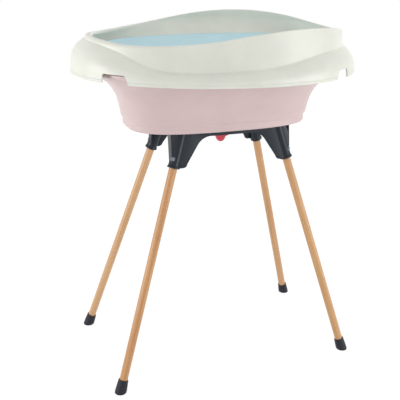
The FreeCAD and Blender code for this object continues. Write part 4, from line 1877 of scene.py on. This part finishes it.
@dataclass(frozen=True)
class PhotoCamera:
    """Camera at the photograph's place, in millimetres and degrees."""

    place: tuple[float, float, float] = (-804.8, -1978.8, 1283.0)
    yaw: float = 21.142
    pitch: float = 20.537
    roll: float = 1.230
    lens: float = 66.28
    sensor: float = 36.0

    def build(self) -> None:
        """Make the camera and use it."""
        yaw, pitch, roll = radians(self.yaw), radians(self.pitch), radians(self.roll)
        ahead = Vector((sin(yaw) * cos(pitch), cos(yaw) * cos(pitch), -sin(pitch)))
        right = Vector((cos(yaw), -sin(yaw), 0))
        above = right.cross(ahead)
        x_axis = right * cos(roll) + above * sin(roll)
        y_axis = above * cos(roll) - right * sin(roll)
        data = bpy.data.cameras.new("photo_camera")
        data.lens = self.lens
        data.sensor_width = self.sensor
        data.clip_end = 100.0
        camera = bpy.data.objects.new("photo_camera", data)
        camera.matrix_world = turned_to(Vector(self.place) * MM, x_axis, y_axis, -ahead)
        bpy.context.scene.collection.objects.link(camera)
        bpy.context.scene.camera = camera


class ChangingTable:
    """The whole object: its finishes and its sub-assemblies."""

    def __init__(self) -> None:
        """Settle the finishes and the stand's lines."""
        self.sizes = StandSizes()
        self.lines = [LegLine(self.sizes, corner) for corner in Corner]
        # Ivory polypropylene from a textured mould: soft broad highlights
        self.ivory = MouldedPlastic("ivory_polypropylene", "E8E9DE", 0.36, 0.9, 0.02, subsurface=0.05)
        # Pale pink polypropylene: the same mould finish, a little deeper in tone
        self.pink = MouldedPlastic("pink_polypropylene", "DAC4C3", 0.38, 0.9, 0.02, subsurface=0.05)
        # Anthracite polypropylene, polished: narrow bright highlights on the sockets
        self.anthracite = MouldedPlastic("anthracite_polypropylene", "1B242D", 0.32, 0.8, 0.015, specular=0.3)
        # The buttons are the frame's plastic from a rougher mould; their colour is painted lighter than the frame's, a
        # painted highlight for the light on their ribs
        self.button_grey_painted_highlight = MouldedPlastic("button_polypropylene_painted_highlight", "76818B", 0.42, 0.6, 0.02)
        # Red soft plastic of the plug: glossy, with a strong colour
        self.red = MouldedPlastic("red_soft_plastic", "D6354B", 0.3, 1.2, 0.01, coat=0.2)
        # Black nitrile rubber: dull, with a fine bloom
        self.seal = MouldedPlastic("nitrile_rubber", "1B1B1D", 0.7, 0.5, 0.02)
        # Dark thermoplastic rubber of the feet: dull and slightly blue
        self.rubber = MouldedPlastic("foot_rubber", "1D1E27", 0.55, 0.8, 0.03, specular=0.35)
        self.cloth = CoatedCloth("coated_cotton", "B7E0EB", 1.4, 0.05)
        self.steel = SpringSteel("spring_steel", "A7ABB0", 0.8)

    def woods(self) -> list[VarnishedBeech]:
        """One beech for each leg, its tone painted lighter or darker for the light and shade that falls on that leg.
        """
        # Painted light and shade: each leg's pair of tones is lighter or darker as the light falls on it
        painted_light_tones = (("DDA974", "BB834F"), ("DFAF7D", "C5925D"), ("E3B888", "CA9A6B"), ("DFB282", "C28F5E"))
        return [
            VarnishedBeech("beech_" + line.corner.label, light, dark, tuple(line.axis), 0.37 * (k + 1))
            for k, (line, (light, dark)) in enumerate(zip(self.lines, painted_light_tones))
        ]

    def build(self) -> None:
        """Make every piece."""
        plastic = self.anthracite.build()
        legs = LegSet(self.sizes)
        ChangingTray().build(self.ivory.build())
        BathTub().build(self.pink.build())
        DrainPlug().build(self.red.build(), self.seal.build())
        legs.build(self.woods(), self.rubber.build(), self.button_grey_painted_highlight.build(), self.lines)
        StandFrame(self.sizes).build(plastic, self.lines, legs)
        ChangingMat().build(self.cloth.build())
        steel = self.steel.build()
        for corner in Corner:
            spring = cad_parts["button_spring_" + corner.label]
            spring.data.materials.clear()
            spring.data.materials.append(steel)


def main() -> None:
    """Build the object, its stage and its camera."""
    logging.basicConfig(level=logging.INFO, format="%(message)s")
    bpy.context.scene.view_settings.view_transform = "Standard"
    PhotoCamera().build()
    ChangingTable().build()
    WhiteStage().build()


if __name__ == "__main__":
    main()
